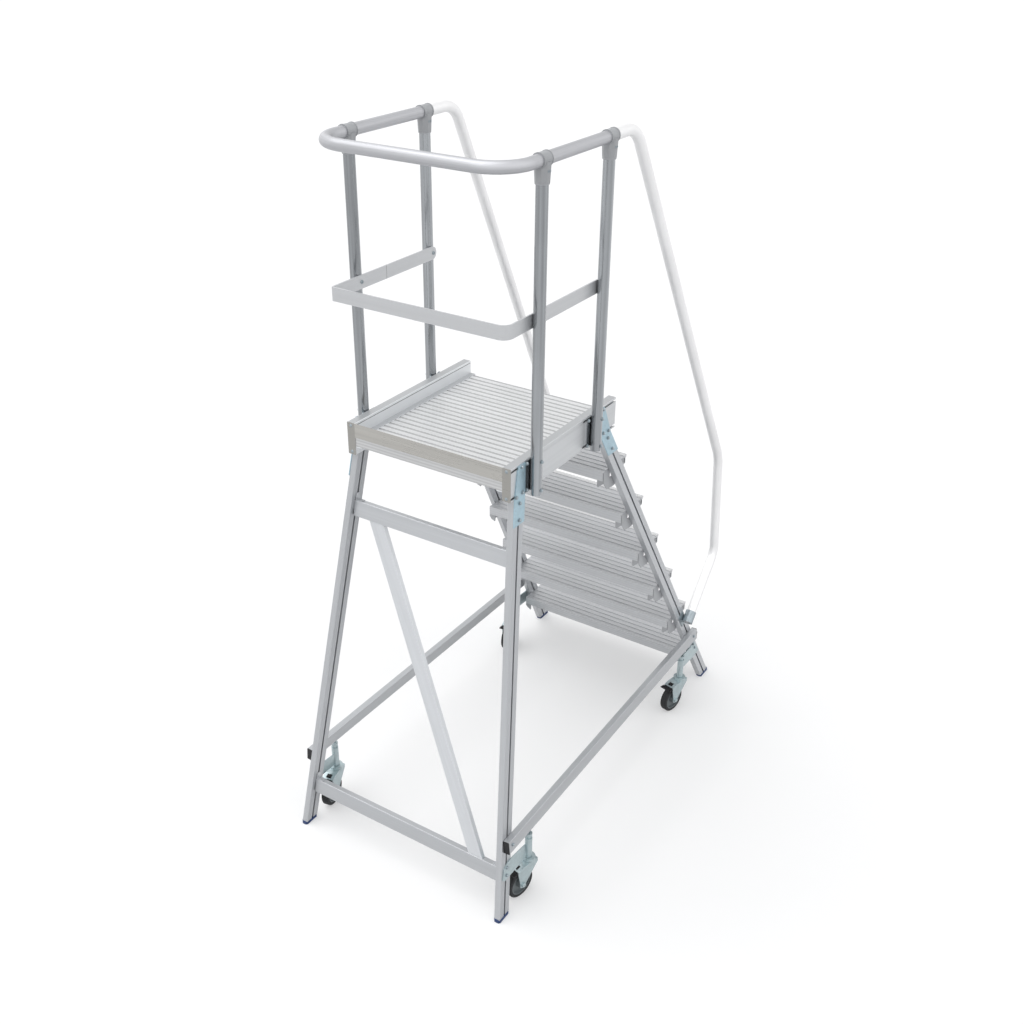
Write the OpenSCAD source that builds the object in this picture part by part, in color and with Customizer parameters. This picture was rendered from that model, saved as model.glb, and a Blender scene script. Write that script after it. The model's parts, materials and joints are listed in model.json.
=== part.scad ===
// Mobile podium step: an aluminium stair with a railed platform on sprung castors.
// The stair rises from -Y to +Y, +X is the left side seen from behind, and the floor is z = 0.
// Sizes are in millimetres.

/* [Stair] */
// Height of the walking surface of the platform
deck_h = 1680; // [1540:7:1820]
// Number of rises from the floor to the platform
rises = 7; // [7:1:7]
// Horizontal distance from one nosing to the next
step_run = 138; // [120:1:150]
// Length of the whole base, from the front feet to the rear feet
base_l = 1881; // [1800:1:1960]
// Half the width across the outer corners of the stair feet
stile_foot_x = 468.3; // [440:0.1:500]
// Distance that a nosing stands in front of its stile
nosing_reach = 70; // [60:1:80]
// Depth of a tread from front to back
tread_depth = 185; // [170:1:200]
// Height of a tread's nosing
nosing_h = 36; // [30:1:44]
// Height of a tread's rear flange
tread_h = 38; // [34:1:42]

/* [Planks] */
// Distance between the ribs of a tread or deck plank
rib_pitch = 29.7; // [25:0.1:34]
// Width of the groove between two ribs
groove_w = 10; // [6:0.5:14]
// Depth of the groove between two ribs
groove_depth = 2; // [1:0.1:2.5]
// Thickness of a plank's top, ribs included
plank_skin = 5; // [4:0.1:7]
// Wall of a plank's nosing, flanges and webs
plank_wall = 3; // [2:0.1:4]
// Height of a deck plank
plank_h = 35; // [28:1:40]
// Number of planks in the deck
planks = 4; // [4:1:4]

/* [Platform] */
// Width of the platform across its side beams
platform_w = 682.6; // [640:0.1:720]
// Length of the platform, toe strip included
platform_l = 718; // [690:1:750]
// Height of a side beam
beam_h = 122; // [116:1:130]
// Thickness of a side beam
beam_t = 33; // [30:1:38]
// Wall of a side beam
beam_wall = 2.5; // [2:0.1:3]
// Height of the toe boards above the walking surface
toe_h = 53; // [48:1:58]
// Distance of a beam's slots from its edges
slot_inset = 11; // [10:0.5:12]
// Width of a slot's mouth
slot_mouth = 8; // [6:0.5:9]
// Width of the lips that hold the deck planks
lip_w = 24; // [18:1:30]
// Thickness of the upper lip
lip_t = 2.5; // [2:0.1:4]
// Thickness of the ledge under the planks
ledge_t = 4; // [3:0.1:6]
// Thickness of the rear toe strip
strip_t = 2; // [1.5:0.1:3]
// Width of the toe strip's end tabs
strip_tab = 33; // [28:1:38]

/* [Guard] */
// Height of the guard rail's axis above the walking surface
guard_h = 1020; // [980:5:1060]
// Diameter of the guard rail, posts and handrails
rail_d = 40; // [36:1:42]
// Wall of the guard rail, posts and handrails
rail_wall = 2; // [1.5:0.1:3]
// Bend radius of the guard rail's corners, on its axis
rail_bend = 120; // [80:5:140]
// Distance from the toe strip back to the guard rail's axis
guard_reach = 64; // [50:1:80]
// Distance from the rear of the platform to the rear posts
rear_post_in = 121; // [110:1:130]
// Distance from the front of the platform to the front posts
front_post_in = 186; // [170:1:200]
// Width of the plate on a post's foot
flange_w = 66; // [60:1:68]
// Height of the plate on a post's foot
flange_h = 116; // [106:1:116]
// Thickness of the plate on a post's foot
flange_t = 4; // [3:0.1:5]
// Length that a post reaches below its beam
post_drop = 10; // [5:1:20]
// Outer diameter of a tee fitting's saddle
tee_d = 54; // [50:1:58]
// Length of a tee fitting's saddle
tee_l = 58; // [50:1:66]
// Depth of a tee fitting below the rail's axis
tee_drop = 76; // [66:1:84]
// Width of a tee fitting's shoulders along the rail
tee_shoulder = 66; // [62:1:72]
// Width of a tee fitting's lower collar
tee_collar = 47; // [46:1:50]
// Height of the knee rail's middle above the walking surface
knee_h = 526; // [490:1:560]
// Height of the knee rail's bar
knee_bar_h = 48; // [40:1:56]
// Thickness of the knee rail's bar
knee_bar_t = 5; // [4:0.5:6]
// Distance from the toe strip back to the knee rail's outer face
knee_reach = 34; // [25:1:45]
// Radius of the knee rail's right corner, on the outer face
knee_bend = 35; // [25:1:45]
// Radius of the knee rail's left corner, which is folded sharper
knee_fold = 9; // [7:1:20]
// Length that the knee rail runs past the front posts
knee_overrun = 18; // [10:1:30]

/* [Handrails] */
// Distance from the front post to the handrail's upper corner
hand_run = 177; // [160:1:190]
// Height of the handrail's middle corner
hand_mid_z = 1169; // [1120:1:1220]
// Distance of the middle corner behind the front of the base
hand_mid_in = 43; // [35:1:60]
// Height of the handrail's lower corner
hand_low_z = 680; // [640:1:720]
// Distance of the lower corner behind the front of the base
hand_low_in = 30; // [26:1:45]
// Height of the clamp that holds the handrail to the stile
clamp_z = 440; // [415:1:470]
// Bend radius of the handrail's upper corner
hand_top_bend = 110; // [100:5:120]
// Bend radius of the handrail's middle corner
hand_mid_bend = 175; // [150:5:200]
// Bend radius of the handrail's lower corner
hand_low_bend = 90; // [80:5:110]
// Length of the handrail clamp's sleeve
clamp_l = 55; // [45:1:65]
// Wall of the handrail clamp's sleeve
clamp_wall = 3.5; // [3:0.1:5]

/* [Frame] */
// Thickness of the leg and stile profile
profile_t = 25; // [22:1:28]
// Width of the leg and stile profile
profile_w = 63; // [58:1:68]
// Wall of the leg and stile profile
profile_wall = 2.2; // [1.8:0.1:2.8]
// Half the width across the outer corners of the rear feet
leg_foot_x = 483.6; // [455:0.1:510]
// Distance from the rear of the platform to a rear leg's rear edge, under the beam
leg_top_in = 21.5; // [15:0.5:25]
// Distance from the beams' underside down to the middle of the upper crossbar
upper_bar_drop = 222; // [190:1:260]
// Height of the middle of the lower crossbar
lower_bar_z = 180; // [175:1:200]
// Height of a crossbar's section
bar_h = 60; // [50:1:66]
// Depth of a crossbar's section
bar_t = 25; // [20:1:28]
// Wall of the crossbars, brace and base rails
bar_wall = 2; // [1.5:0.1:3]
// Distance from the middle to the brace's upper end
brace_top_x = 246; // [220:1:260]
// Distance from the middle to the brace's lower end
brace_low_x = 349; // [320:1:360]
// Width of the diagonal brace
brace_w = 57; // [50:1:62]
// Thickness of the diagonal brace
brace_t = 20; // [16:1:25]
// Height of the middle of the base rails
base_rail_z = 317; // [312:1:330]
// Height of a base rail's section
base_rail_h = 53; // [48:1:58]
// Thickness of a base rail's section
base_rail_t = 25; // [20:1:30]
// Length that a base rail runs past the middle of a rear leg
rail_rear_overrun = 22; // [18:1:34]
// Length that a base rail runs past the middle of a stile
rail_front_overrun = 31; // [25:1:40]
// Thickness of the caps on the base rails' ends
cap_t = 3; // [2:0.5:5]
// Thickness of a rubber foot
foot_t = 12; // [8:1:14]
// Width of the rim of a rubber foot round its profile
foot_rim = 1.5; // [1:0.1:3]
// Length of a gusset below its beam
gusset_drop = 94; // [80:1:105]
// Thickness of the gussets
gusset_t = 4; // [3:0.1:5]
// Depth of a gusset's top edge below the beam's top
gusset_top_in = 6; // [4:1:10]
// Width of the rear gusset's top
rear_gusset_top = 45; // [40:1:50]
// Width of the front gusset's top
front_gusset_top = 17; // [14:1:22]

/* [Castors] */
// Diameter of a castor wheel
wheel_d = 125; // [115:1:130]
// Width of a castor wheel's tyre
wheel_w = 32; // [28:1:36]
// Distance that a wheel trails behind its stem
trail = 52; // [46:1:56]
// Angle that the castors are turned inwards at rest
castor_turn = 12; // [0:1:20]
// Distance from a rear leg's middle forward to its castor's stem
rear_castor_in = 148; // [144:1:156]
// Distance that a rear castor's stem stands outside its leg's outer face
rear_castor_out = 6; // [4:0.5:9]
// Distance from a stile's middle back to its castor's stem
front_castor_in = 173; // [165:1:180]
// Distance that a front castor's stem stands outside its stile's outer face
front_castor_out = 8.5; // [6.5:0.5:11.5]
// Diameter of a stem
stem_d = 20; // [16:1:22]
// Wall of the sleeve round a stem
sleeve_wall = 4; // [3:0.1:6]
// Length of the sleeve round a stem
sleeve_l = 92; // [70:1:92]
// Length that a stem can drop out of its sleeve
stem_travel = 10; // [6:1:10]
// Thickness of a fork's side plates
fork_t = 3.5; // [3:0.1:5]
// Diameter of a wheel's axle
axle_d = 12; // [10:0.5:14]
// Thickness of the castor brackets
bracket_t = 4; // [3:0.1:5]

/* [Fits] */
// Radial clearance of a shaft that turns or slides in a hole
running_fit = 0.05; // [0.02:0.01:0.1]
// Clearance between pieces that are pushed together
seat_fit = 0.1; // [0.05:0.05:0.3]

/* [Hidden] */
$fn = 48;
spin_fn = 96;

aluminium = [0.78, 0.79, 0.81];
ribbed_aluminium = [0.84, 0.84, 0.85];
rail_grey = [0.70, 0.72, 0.74];
rail_white = [0.92, 0.92, 0.93];
warm_grey = [0.60, 0.58, 0.55];
zinc = [0.62, 0.70, 0.75];
cast_grey = [0.62, 0.63, 0.65];
black = [0.06, 0.06, 0.07];
navy = [0.08, 0.11, 0.18];
hub_grey = [0.45, 0.48, 0.50];

// Platform levels and ends
step_rise = deck_h / rises;
stair_slope = step_run / step_rise;
beam_top = deck_h + toe_h;
beam_low = beam_top - beam_h;
beam_out = platform_w / 2;
beam_in = beam_out - beam_t;
stile_front_y0 = -base_l / 2;
nosing_back = 5.4;
deck_front = stile_front_y0 - nosing_reach + stair_slope * deck_h - nosing_back;
deck_rear = deck_front + platform_l;
strip_front = deck_rear - strip_t;
slot_heights = [beam_low + slot_inset, beam_top - slot_inset];

// Legs and stiles lean inwards to the beams, in faces that hold the Y axis
stile_splay = atan((stile_foot_x - beam_out) / beam_low);
leg_splay = atan((leg_foot_x - beam_out) / beam_low);
stile_rake = -atan(stair_slope * cos(stile_splay));
leg_foot_y = base_l / 2;
leg_top_y = deck_rear - leg_top_in;
leg_slope = (leg_foot_y - leg_top_y) / beam_low;
leg_rake = atan(leg_slope * cos(leg_splay));
stile_run = profile_w / cos(stile_rake);
leg_run = profile_w / cos(leg_rake);
function stile_x(z) = stile_foot_x - z * tan(stile_splay);
function stile_inner_x(z) = stile_x(z) - profile_t / cos(stile_splay);
function stile_front_y(z) = stile_front_y0 + stair_slope * z;
function stile_mid_y(z) = stile_front_y(z) + stile_run / 2;
function leg_x(z) = leg_foot_x - z * tan(leg_splay);
function leg_inner_x(z) = leg_x(z) - profile_t / cos(leg_splay);
function leg_rear_y(z) = leg_foot_y - leg_slope * z;
function leg_mid_y(z) = leg_rear_y(z) - leg_run / 2;
function nosing_y(k) = stile_front_y(step_rise * k) - nosing_reach;
upper_bar_z = beam_low - upper_bar_drop;
nose_w = 16;

// Line of the left base rail's inner face, from the rear leg to the stile
rail_seat = 0.5;
rail_rear = [leg_x(base_rail_z) + rail_seat, leg_mid_y(base_rail_z)];
rail_front = [stile_x(base_rail_z) + rail_seat, stile_mid_y(base_rail_z)];
rail_toe = atan((rail_rear.x - rail_front.x) / (rail_rear.y - rail_front.y));
rail_tilt = (leg_splay + stile_splay) / 2;
rail_l = norm(rail_rear - rail_front);

// Guard and handrails
weld_sink = 0.3;
weld_gap = 0.1;
rail_x = beam_out + flange_t - weld_sink + rail_d / 2;
rail_z = deck_h + guard_h;
rear_post_y = deck_rear - rear_post_in;
front_post_y = deck_front + front_post_in;
guard_rear_y = deck_rear + guard_reach;
post_top = rail_z - rail_d / 2 - 1;
clamp_d = rail_d + 2 * seat_fit + 2 * clamp_wall;
clamp_plate_t = 4;
clamp_sink = 1.5;
clamp_x = stile_x(clamp_z) + clamp_plate_t - clamp_sink + clamp_d / 2;
hand_lean = atan((clamp_x - rail_x) / (rail_z - clamp_z));
hand_drop = cos(hand_lean);
hand_path = [
    [front_post_y - seat_fit, 0],
    [front_post_y - hand_run, 0],
    [stile_front_y0 + hand_mid_in, (hand_mid_z - rail_z) / hand_drop],
    [stile_front_y0 + hand_low_in, (hand_low_z - rail_z) / hand_drop],
    [stile_mid_y(clamp_z), (clamp_z - rail_z) / hand_drop]
];
hand_bends = [hand_top_bend, hand_mid_bend, hand_low_bend];

// Castors
castor_level = 200;
rear_castor_x = leg_x(castor_level) + rear_castor_out;
rear_castor_y = leg_mid_y(castor_level) - rear_castor_in;
front_castor_x = stile_x(castor_level) + front_castor_out;
front_castor_y = stile_mid_y(castor_level) + front_castor_in;
wheel_r = wheel_d / 2;
sleeve_d = stem_d + 2 * running_fit + 2 * sleeve_wall;
crown_top = wheel_d + 23;
crown_t = 17;
race_t = 10;
race_gap = 0.3;
race_d = 54;
sleeve_low = crown_top + race_gap + race_t + 1.7;
sleeve_top = sleeve_low + sleeve_l;
nut_t = 12;
nut_low = sleeve_top + stem_travel + 0.6;
rivet_d = 28;
rivet_t = 5;
hub_w = wheel_w + 8;
fork_in = hub_w / 2 + 1;
fork_out = fork_in + fork_t;
pedal_y = 40;
pedal_z = wheel_d + 12;
pedal_pin_d = 8;
pedal_knuckle_d = 16;
hood_t = 2.6;
hood_bend_y = 48;
hood_end_y = 78;
hood_end_z = crown_top - 7;
window_y = [52.5, 72];
window_w = 22;
tyre_in = wheel_r - 13.5;

// Turns a (y, z) outline into a plate that grows along +X
module plate_x(thickness) {
    rotate([90, 0, 90]) linear_extrude(thickness) children();
}

// Extrudes a (y, z) outline along X, centred on the middle of the object
module bar_x(length) {
    translate([-length / 2, 0, 0]) plate_x(length) children();
}

// Extrudes an (x, z) outline along Y from y0 to y1
module bar_y(y0, y1) {
    translate([0, y1, 0]) rotate([90, 0, 0]) linear_extrude(y1 - y0) children();
}

// Draws its children on the left and mirrors them to the right
module both_sides() {
    children();
    mirror([1, 0, 0]) children();
}

// Local X leaves the outer face of the left stile, local Z climbs it
module on_stile() {
    translate([stile_foot_x, 0, 0]) rotate([0, -stile_splay, 0]) children();
}

// Local X leaves the outer face of the left rear leg, local Z climbs it
module on_leg() {
    translate([leg_foot_x, 0, 0]) rotate([0, -leg_splay, 0]) children();
}

// Rectangle with chamfered corners, from its lower left corner
module chamfered(w, h, c) {
    polygon([[c, 0], [w - c, 0], [w, c], [w, h - c], [w - c, h], [c, h], [0, h - c], [0, c]]);
}

// Hollow rectangular section
module box_section(w, h, wall) {
    difference() {
        chamfered(w, h, wall / 2);
        translate([wall, wall]) square([w - 2 * wall, h - 2 * wall]);
    }
}

module tube_ring(d, wall) {
    difference() {
        circle(d = d);
        circle(d = d - 2 * wall);
    }
}

function unit(v) = v / norm(v);
function heading(v) = atan2(v.y, v.x);
function wrapped(a) = a > 180 ? a - 360 : a < -180 ? a + 360 : a;
function bend_at(p, i) =
    i <= 0 || i >= len(p) - 1 ? 0 : wrapped(heading(p[i + 1] - p[i]) - heading(p[i] - p[i - 1]));
function bend_run(p, radii, i) = bend_at(p, i) == 0 ? 0 : radii[i - 1] * tan(abs(bend_at(p, i)) / 2);

// Round tube along a flat path of straight runs joined by bends. A bend may be thinner
// than the runs beside it by a weld on each face, and then reaches into their wall.
module bent_tube(path, radii, d, wall, weld = 0) {
    reach = 15 * weld;
    for (i = [0 : len(path) - 2]) {
        run = path[i + 1] - path[i];
        first = bend_run(path, radii, i);
        last = bend_run(path, radii, i + 1);
        translate(path[i] + unit(run) * first)
            rotate([0, 90, heading(run)])
                linear_extrude(norm(run) - first - last) rotate(-90) tube_ring(d, wall);
    }
    for (i = [1 : len(path) - 2]) {
        turn = bend_at(path, i);
        side = sign(turn);
        radius = radii[i - 1];
        more = reach / radius * 180 / PI;
        way = path[i] - path[i - 1];
        start = path[i] - unit(way) * bend_run(path, radii, i);
        middle = start + radius * side * [-sin(heading(way)), cos(heading(way))];
        translate(middle)
            rotate([0, 0, heading(way) - 90 * side + min(0, turn) - more])
                rotate_extrude(angle = abs(turn) + 2 * more, $fn = spin_fn)
                    translate([radius, 0]) tube_ring(d - 2 * weld, wall - 2 * weld);
    }
}

// Section of a side beam: outer face on x = 0, underside on z = 0
module beam_section() {
    deck_level = deck_h - beam_low;
    chamber_h = slot_mouth + 6;
    chamber_t = 9;
    wall = beam_wall;
    core_h = beam_h - 4 * slot_inset;
    difference() {
        union() {
            translate([-beam_t, 0]) chamfered(beam_t, beam_h, 1.5);
            translate([-beam_t - lip_w, deck_level]) square([lip_w + wall, lip_t]);
            translate([-beam_t - lip_w, deck_level - plank_h - ledge_t]) square([lip_w + wall, ledge_t]);
        }
        translate([-beam_t + wall, 2 * slot_inset]) square([beam_t - 2 * wall, core_h]);
        for (level = [slot_inset, beam_h - slot_inset]) {
            translate([-wall - chamber_t, level - chamber_h / 2]) square([chamber_t, chamber_h]);
            translate([-wall - 1, level - slot_mouth / 2]) square([wall + 2, slot_mouth]);
            translate([-beam_t + wall, level - chamber_h / 2])
                square([beam_t - chamber_t - 3 * wall, chamber_h]);
        }
        translate([-beam_t - 1, beam_h - 10]) square([2.2, 2]);
    }
}

module side_beam() {
    color(aluminium)
        translate([beam_out, 0, beam_low]) bar_y(deck_front, strip_front) beam_section();
}

module side_beam_left() {
    side_beam();
}

module side_beam_right() {
    mirror([1, 0, 0]) side_beam();
}

// Strips that close the beams' slots between the posts
module slot_covers() {
    margin = flange_w / 2 + 24;
    cover_t = beam_wall - 0.5;
    color(aluminium)
        both_sides()
            for (level = slot_heights)
                translate([beam_out - beam_wall, 0, level])
                    bar_y(front_post_y + margin, rear_post_y - margin)
                        translate([0, -slot_mouth / 2 + seat_fit])
                            square([cover_t, slot_mouth - 2 * seat_fit]);
}

// Section of a ribbed plank: nosing edge on y = 0, rib tops on z = 0
module plank_section(depth, front_h, rear_h, nosed) {
    nose_r = 12;
    front_w = nosed ? nose_w : plank_wall;
    ribs = floor(depth / rib_pitch);
    first_groove = (depth - (ribs - 1) * rib_pitch) / 2;
    cells = 3;
    cell_w = (depth - front_w - cells * plank_wall) / cells;
    difference() {
        union() {
            if (nosed) {
                translate([nose_r, -nose_r]) circle(nose_r);
                translate([0, -front_h]) square([front_w, front_h - nose_r]);
                translate([nose_r, -rear_h]) square([depth - nose_r, rear_h]);
            } else {
                translate([0, -rear_h]) square([depth, rear_h]);
            }
        }
        for (i = [0 : ribs - 1])
            translate([first_groove + i * rib_pitch - groove_w / 2, -groove_depth])
                square([groove_w, groove_depth + 1]);
        for (i = [0 : cells - 1])
            translate([front_w + i * (cell_w + plank_wall), -rear_h - 1])
                square([cell_w, rear_h + 1 - plank_skin]);
        if (nosed)
            translate([plank_wall, -front_h + plank_wall])
                square([front_w - 2 * plank_wall, front_h - plank_wall - nose_r + 2]);
    }
}

module deck_planks() {
    joint = 0.4;
    pitch = (strip_front - deck_front) / planks;
    color(ribbed_aluminium)
        for (i = [0 : planks - 1])
            translate([0, deck_front + i * pitch, deck_h])
                bar_x(2 * (beam_in - seat_fit))
                    plank_section(pitch - joint, plank_h, plank_h, i == 0);
}

// Sheet across the rear of the platform, with a tab down each beam's end
module rear_toe_strip() {
    color(warm_grey)
        translate([0, strip_front, 0]) bar_y(0, strip_t)
            difference() {
                translate([-beam_out, beam_low]) square([platform_w, beam_h]);
                translate([-beam_out + strip_tab, beam_low - 1])
                    square([platform_w - 2 * strip_tab, deck_h - beam_low + 1]);
            }
}

// Post with its foot plate, which stands against the beam's outer face
module post(y) {
    foot = beam_low - post_drop;
    color(rail_grey)
        difference() {
            union() {
                translate([rail_x, y, foot]) cylinder(d = rail_d, h = post_top - foot);
                translate([beam_out, y - flange_w / 2, beam_low + (beam_h - flange_h) / 2])
                    cube([flange_t, flange_w, flange_h]);
            }
            translate([rail_x, y, foot - 1]) cylinder(d = rail_d - 2 * rail_wall, h = post_top - foot + 2);
        }
}

module post_rear_left() {
    post(rear_post_y);
}

module post_rear_right() {
    mirror([1, 0, 0]) post(rear_post_y);
}

module post_front_left() {
    post(front_post_y);
}

module post_front_right() {
    mirror([1, 0, 0]) post(front_post_y);
}

module guard_rail() {
    path = [
        [rail_x, front_post_y + seat_fit],
        [rail_x, guard_rear_y],
        [-rail_x, guard_rear_y],
        [-rail_x, front_post_y + seat_fit]
    ];
    color(rail_grey)
        translate([0, 0, rail_z]) bent_tube(path, [rail_bend, rail_bend], rail_d, rail_wall, weld_gap);
}

// Cast tee: a saddle on the rail, and a skirt to the post whose corners turn into facets
module tee() {
    bore = rail_d + 2 * seat_fit;
    shoulder_drop = 35;
    corner_r = (tee_d + tee_shoulder) / 2;
    collar_r = tee_collar / sqrt(2);
    facet_slope = (corner_r - collar_r) / (tee_drop - shoulder_drop);
    difference() {
        union() {
            rotate([90, 0, 0]) cylinder(d = tee_d, h = tee_l, center = true);
            intersection() {
                bar_y(-tee_shoulder / 2, tee_shoulder / 2)
                    polygon([
                        [-tee_d / 2, 0], [tee_d / 2, 0], [tee_d / 2, -shoulder_drop],
                        [tee_collar / 2, -tee_drop], [-tee_collar / 2, -tee_drop],
                        [-tee_d / 2, -shoulder_drop]
                    ]);
                bar_x(tee_d)
                    polygon([
                        [-tee_l / 2, 0], [tee_l / 2, 0], [tee_shoulder / 2, -shoulder_drop],
                        [tee_collar / 2, -tee_drop], [-tee_collar / 2, -tee_drop],
                        [-tee_shoulder / 2, -shoulder_drop]
                    ]);
                translate([0, 0, -tee_drop])
                    cylinder(r1 = collar_r, r2 = collar_r + facet_slope * tee_drop, h = tee_drop, $fn = 4);
            }
        }
        rotate([90, 0, 0]) cylinder(d = bore, h = tee_shoulder + 2, center = true);
        translate([0, 0, -tee_drop - 1]) cylinder(d = bore, h = tee_drop);
    }
}

module tee_fittings() {
    color(cast_grey)
        both_sides()
            for (y = [rear_post_y, front_post_y]) translate([rail_x, y, rail_z]) tee();
}

// Flat bar bent round the inner sides of the posts, with rounded front ends
module knee_rail() {
    half = rail_x - rail_d / 2 - seat_fit;
    front = front_post_y - knee_overrun;
    rear = deck_rear + knee_reach;
    end_r = knee_bar_h / 2;
    module outline(inset) {
        bend = knee_bend - inset;
        fold = knee_fold - inset;
        side = half - inset;
        back = rear - inset;
        start = front - 2 * inset;
        translate([-side, start]) square([side, back - bend - start]);
        translate([0, start]) square([side, back - fold - start]);
        translate([bend - side, start]) square([2 * side - bend - fold, back - start]);
        translate([bend - side, back - bend]) circle(bend);
        translate([side - fold, back - fold]) circle(fold);
    }
    color(aluminium)
        translate([0, 0, deck_h + knee_h - end_r])
            intersection() {
                linear_extrude(knee_bar_h)
                    difference() {
                        outline(0);
                        outline(knee_bar_t);
                    }
                bar_x(2 * half + 2)
                    union() {
                        translate([front + end_r, end_r]) circle(end_r);
                        translate([front + end_r, 0]) square([rear - front, knee_bar_h]);
                    }
            }
}

// Places its children in the leaning plane of the left handrail
module on_handrail() {
    translate([rail_x, 0, rail_z]) rotate([0, -hand_lean, 0]) rotate([90, 0, 90]) children();
}

module handrail() {
    color(rail_white) on_handrail() bent_tube(hand_path, hand_bends, rail_d, rail_wall, weld_gap);
}

module handrail_left() {
    handrail();
}

module handrail_right() {
    mirror([1, 0, 0]) handrail();
}

// Sleeve on the end of a handrail, welded to a plate on the stile
module handrail_clamp() {
    tail = hand_path[4];
    way = unit(hand_path[3] - tail);
    plate_l = 70;
    plate_w = 40;
    bore = rail_d + 2 * seat_fit;
    difference() {
        union() {
            on_handrail()
                translate(tail - way * 3) rotate([0, 90, heading(way)]) cylinder(d = clamp_d, h = clamp_l);
            on_stile()
                translate([seat_fit, stile_mid_y(clamp_z), clamp_z / cos(stile_splay)])
                    rotate([stile_rake, 0, 0])
                        translate([0, -plate_w / 2, -plate_l / 2 + 10])
                            cube([clamp_plate_t, plate_w, plate_l]);
        }
        on_handrail()
            translate(tail - way * 20) rotate([0, 90, heading(way)]) cylinder(d = bore, h = clamp_l + 60);
    }
}

module handrail_clamps() {
    color(zinc) both_sides() handrail_clamp();
}

// Section of the legs and stiles: outer face on x = 0, rear edge on y = 0
module slotted_section() {
    wall = profile_wall;
    mouth = 9;
    chamber_w = 19;
    web = 2.6;
    chamber_t = (profile_t - 2 * wall - web) / 2;
    end_l = (profile_w - chamber_w) / 2 - 2 * wall;
    difference() {
        translate([-profile_t, -profile_w]) chamfered(profile_t, profile_w, 1.5);
        for (y = [-profile_w + wall, -wall - end_l])
            translate([-profile_t + wall, y]) square([profile_t - 2 * wall, end_l]);
        for (x = [-wall - chamber_t, -profile_t + wall])
            translate([x, -profile_w / 2 - chamber_w / 2]) square([chamber_t, chamber_w]);
        for (x = [-wall - 1, -profile_t - 1])
            translate([x, -profile_w / 2 - mouth / 2]) square([wall + 2, mouth]);
    }
}

// Slotted profile from its rubber foot up to the underside of the beams
module slotted_member(rear_y, rake) {
    length = beam_low / cos(rake) + 200;
    translate([0, rear_y, 0]) rotate([rake, 0, 0]) translate([0, 0, -80])
        linear_extrude(length) slotted_section();
}

// Keeps what lies between the feet and the beams
module between_floor_and_beam() {
    reach = base_l;
    intersection() {
        children();
        translate([0, -reach, foot_t]) cube([reach, 2 * reach, beam_low - foot_t]);
    }
}

module stile() {
    color(aluminium) between_floor_and_beam()
        on_stile() slotted_member(stile_front_y0 + stile_run, stile_rake);
}

module stile_left() {
    stile();
}

module stile_right() {
    mirror([1, 0, 0]) stile();
}

module rear_leg() {
    color(aluminium) between_floor_and_beam() on_leg() slotted_member(leg_foot_y, leg_rake);
}

module rear_leg_left() {
    rear_leg();
}

module rear_leg_right() {
    mirror([1, 0, 0]) rear_leg();
}

// Pad under the end of a leg or stile whose outer edge is at x, from y0 to y1
module foot_pad(x, splay, y0, y1) {
    width = profile_t / cos(splay) + 2 * foot_rim;
    translate([x + foot_rim - width, y0 - foot_rim, 0])
        linear_extrude(foot_t) chamfered(width, y1 - y0 + 2 * foot_rim, 6);
}

module rubber_feet() {
    color(navy)
        both_sides() {
            foot_pad(stile_x(foot_t / 2), stile_splay, stile_front_y0, stile_front_y0 + stile_run);
            foot_pad(leg_x(foot_t / 2), leg_splay, leg_foot_y - leg_run, leg_foot_y);
        }
}

module tread(k) {
    level = step_rise * k;
    color(ribbed_aluminium)
        translate([0, nosing_y(k), level])
            bar_x(2 * (stile_inner_x(level) - 3 * seat_fit))
                plank_section(tread_depth, nosing_h, tread_h, true);
}

module tread_1() {
    tread(1);
}

module tread_2() {
    tread(2);
}

module tread_3() {
    tread(3);
}

module tread_4() {
    tread(4);
}

module tread_5() {
    tread(5);
}

module tread_6() {
    tread(6);
}

// Angle at the rear of a tread's end: a pad under its top, a plate on the stile and a tail
module tread_bracket(k) {
    thickness = 3;
    side_gap = 3;
    cell_w = (tread_depth - nose_w - 3 * plank_wall) / 3;
    rear = nosing_y(k) + tread_depth - plank_wall - side_gap;
    front = rear - cell_w + 2 * side_gap;
    top = step_rise * k - plank_skin - seat_fit;
    under = step_rise * k - tread_h - 2;
    face = stile_inner_x(top) - seat_fit;
    pad_l = 46;
    tail_w = 26;
    sink = 1;
    plate_front = front + sink;
    plate_rear = rear - sink;
    lean = cos(stile_splay);
    union() {
        translate([face - thickness - pad_l, front, top - thickness])
            cube([pad_l + thickness - 0.6, rear - front, thickness]);
        bar_y(rear - thickness, rear)
            polygon([
                [face - tail_w, top - 2 * sink], [face - sink, top - 2 * sink], [face + 2, under - 10],
                [face - tail_w + 5, under - 32], [face - tail_w, under - 28]
            ]);
        intersection() {
            on_stile() translate([-profile_t - seat_fit - thickness, 0, 0]) plate_x(thickness)
                polygon([
                    [plate_front, (top + 20) / lean], [plate_rear, (top + 20) / lean],
                    [plate_rear, (under - 10) / lean], [plate_rear - 22, (under - 40) / lean],
                    [front - 34, (under - 46) / lean], [front - 70, (under - 22) / lean],
                    [front - 70, under / lean], [plate_front, under / lean]
                ]);
            translate([0, front - tread_depth, under - tread_depth])
                cube([2 * stile_foot_x, 2 * tread_depth, top - sink - under + tread_depth]);
        }
    }
}

module tread_brackets() {
    color(cast_grey) both_sides() for (k = [1 : rises - 1]) tread_bracket(k);
}

// Places its children at a height on the middle line of the rear legs' plane
module on_rear_plane(z) {
    translate([0, leg_mid_y(z), z]) rotate([atan(leg_slope), 0, 0]) children();
}

module crossbar(z) {
    color(aluminium)
        on_rear_plane(z)
            bar_x(2 * (leg_inner_x(z + bar_h / 2) - 2 * seat_fit))
                translate([-bar_t / 2, -bar_h / 2]) box_section(bar_t, bar_h, bar_wall);
}

module upper_crossbar() {
    crossbar(upper_bar_z);
}

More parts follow.
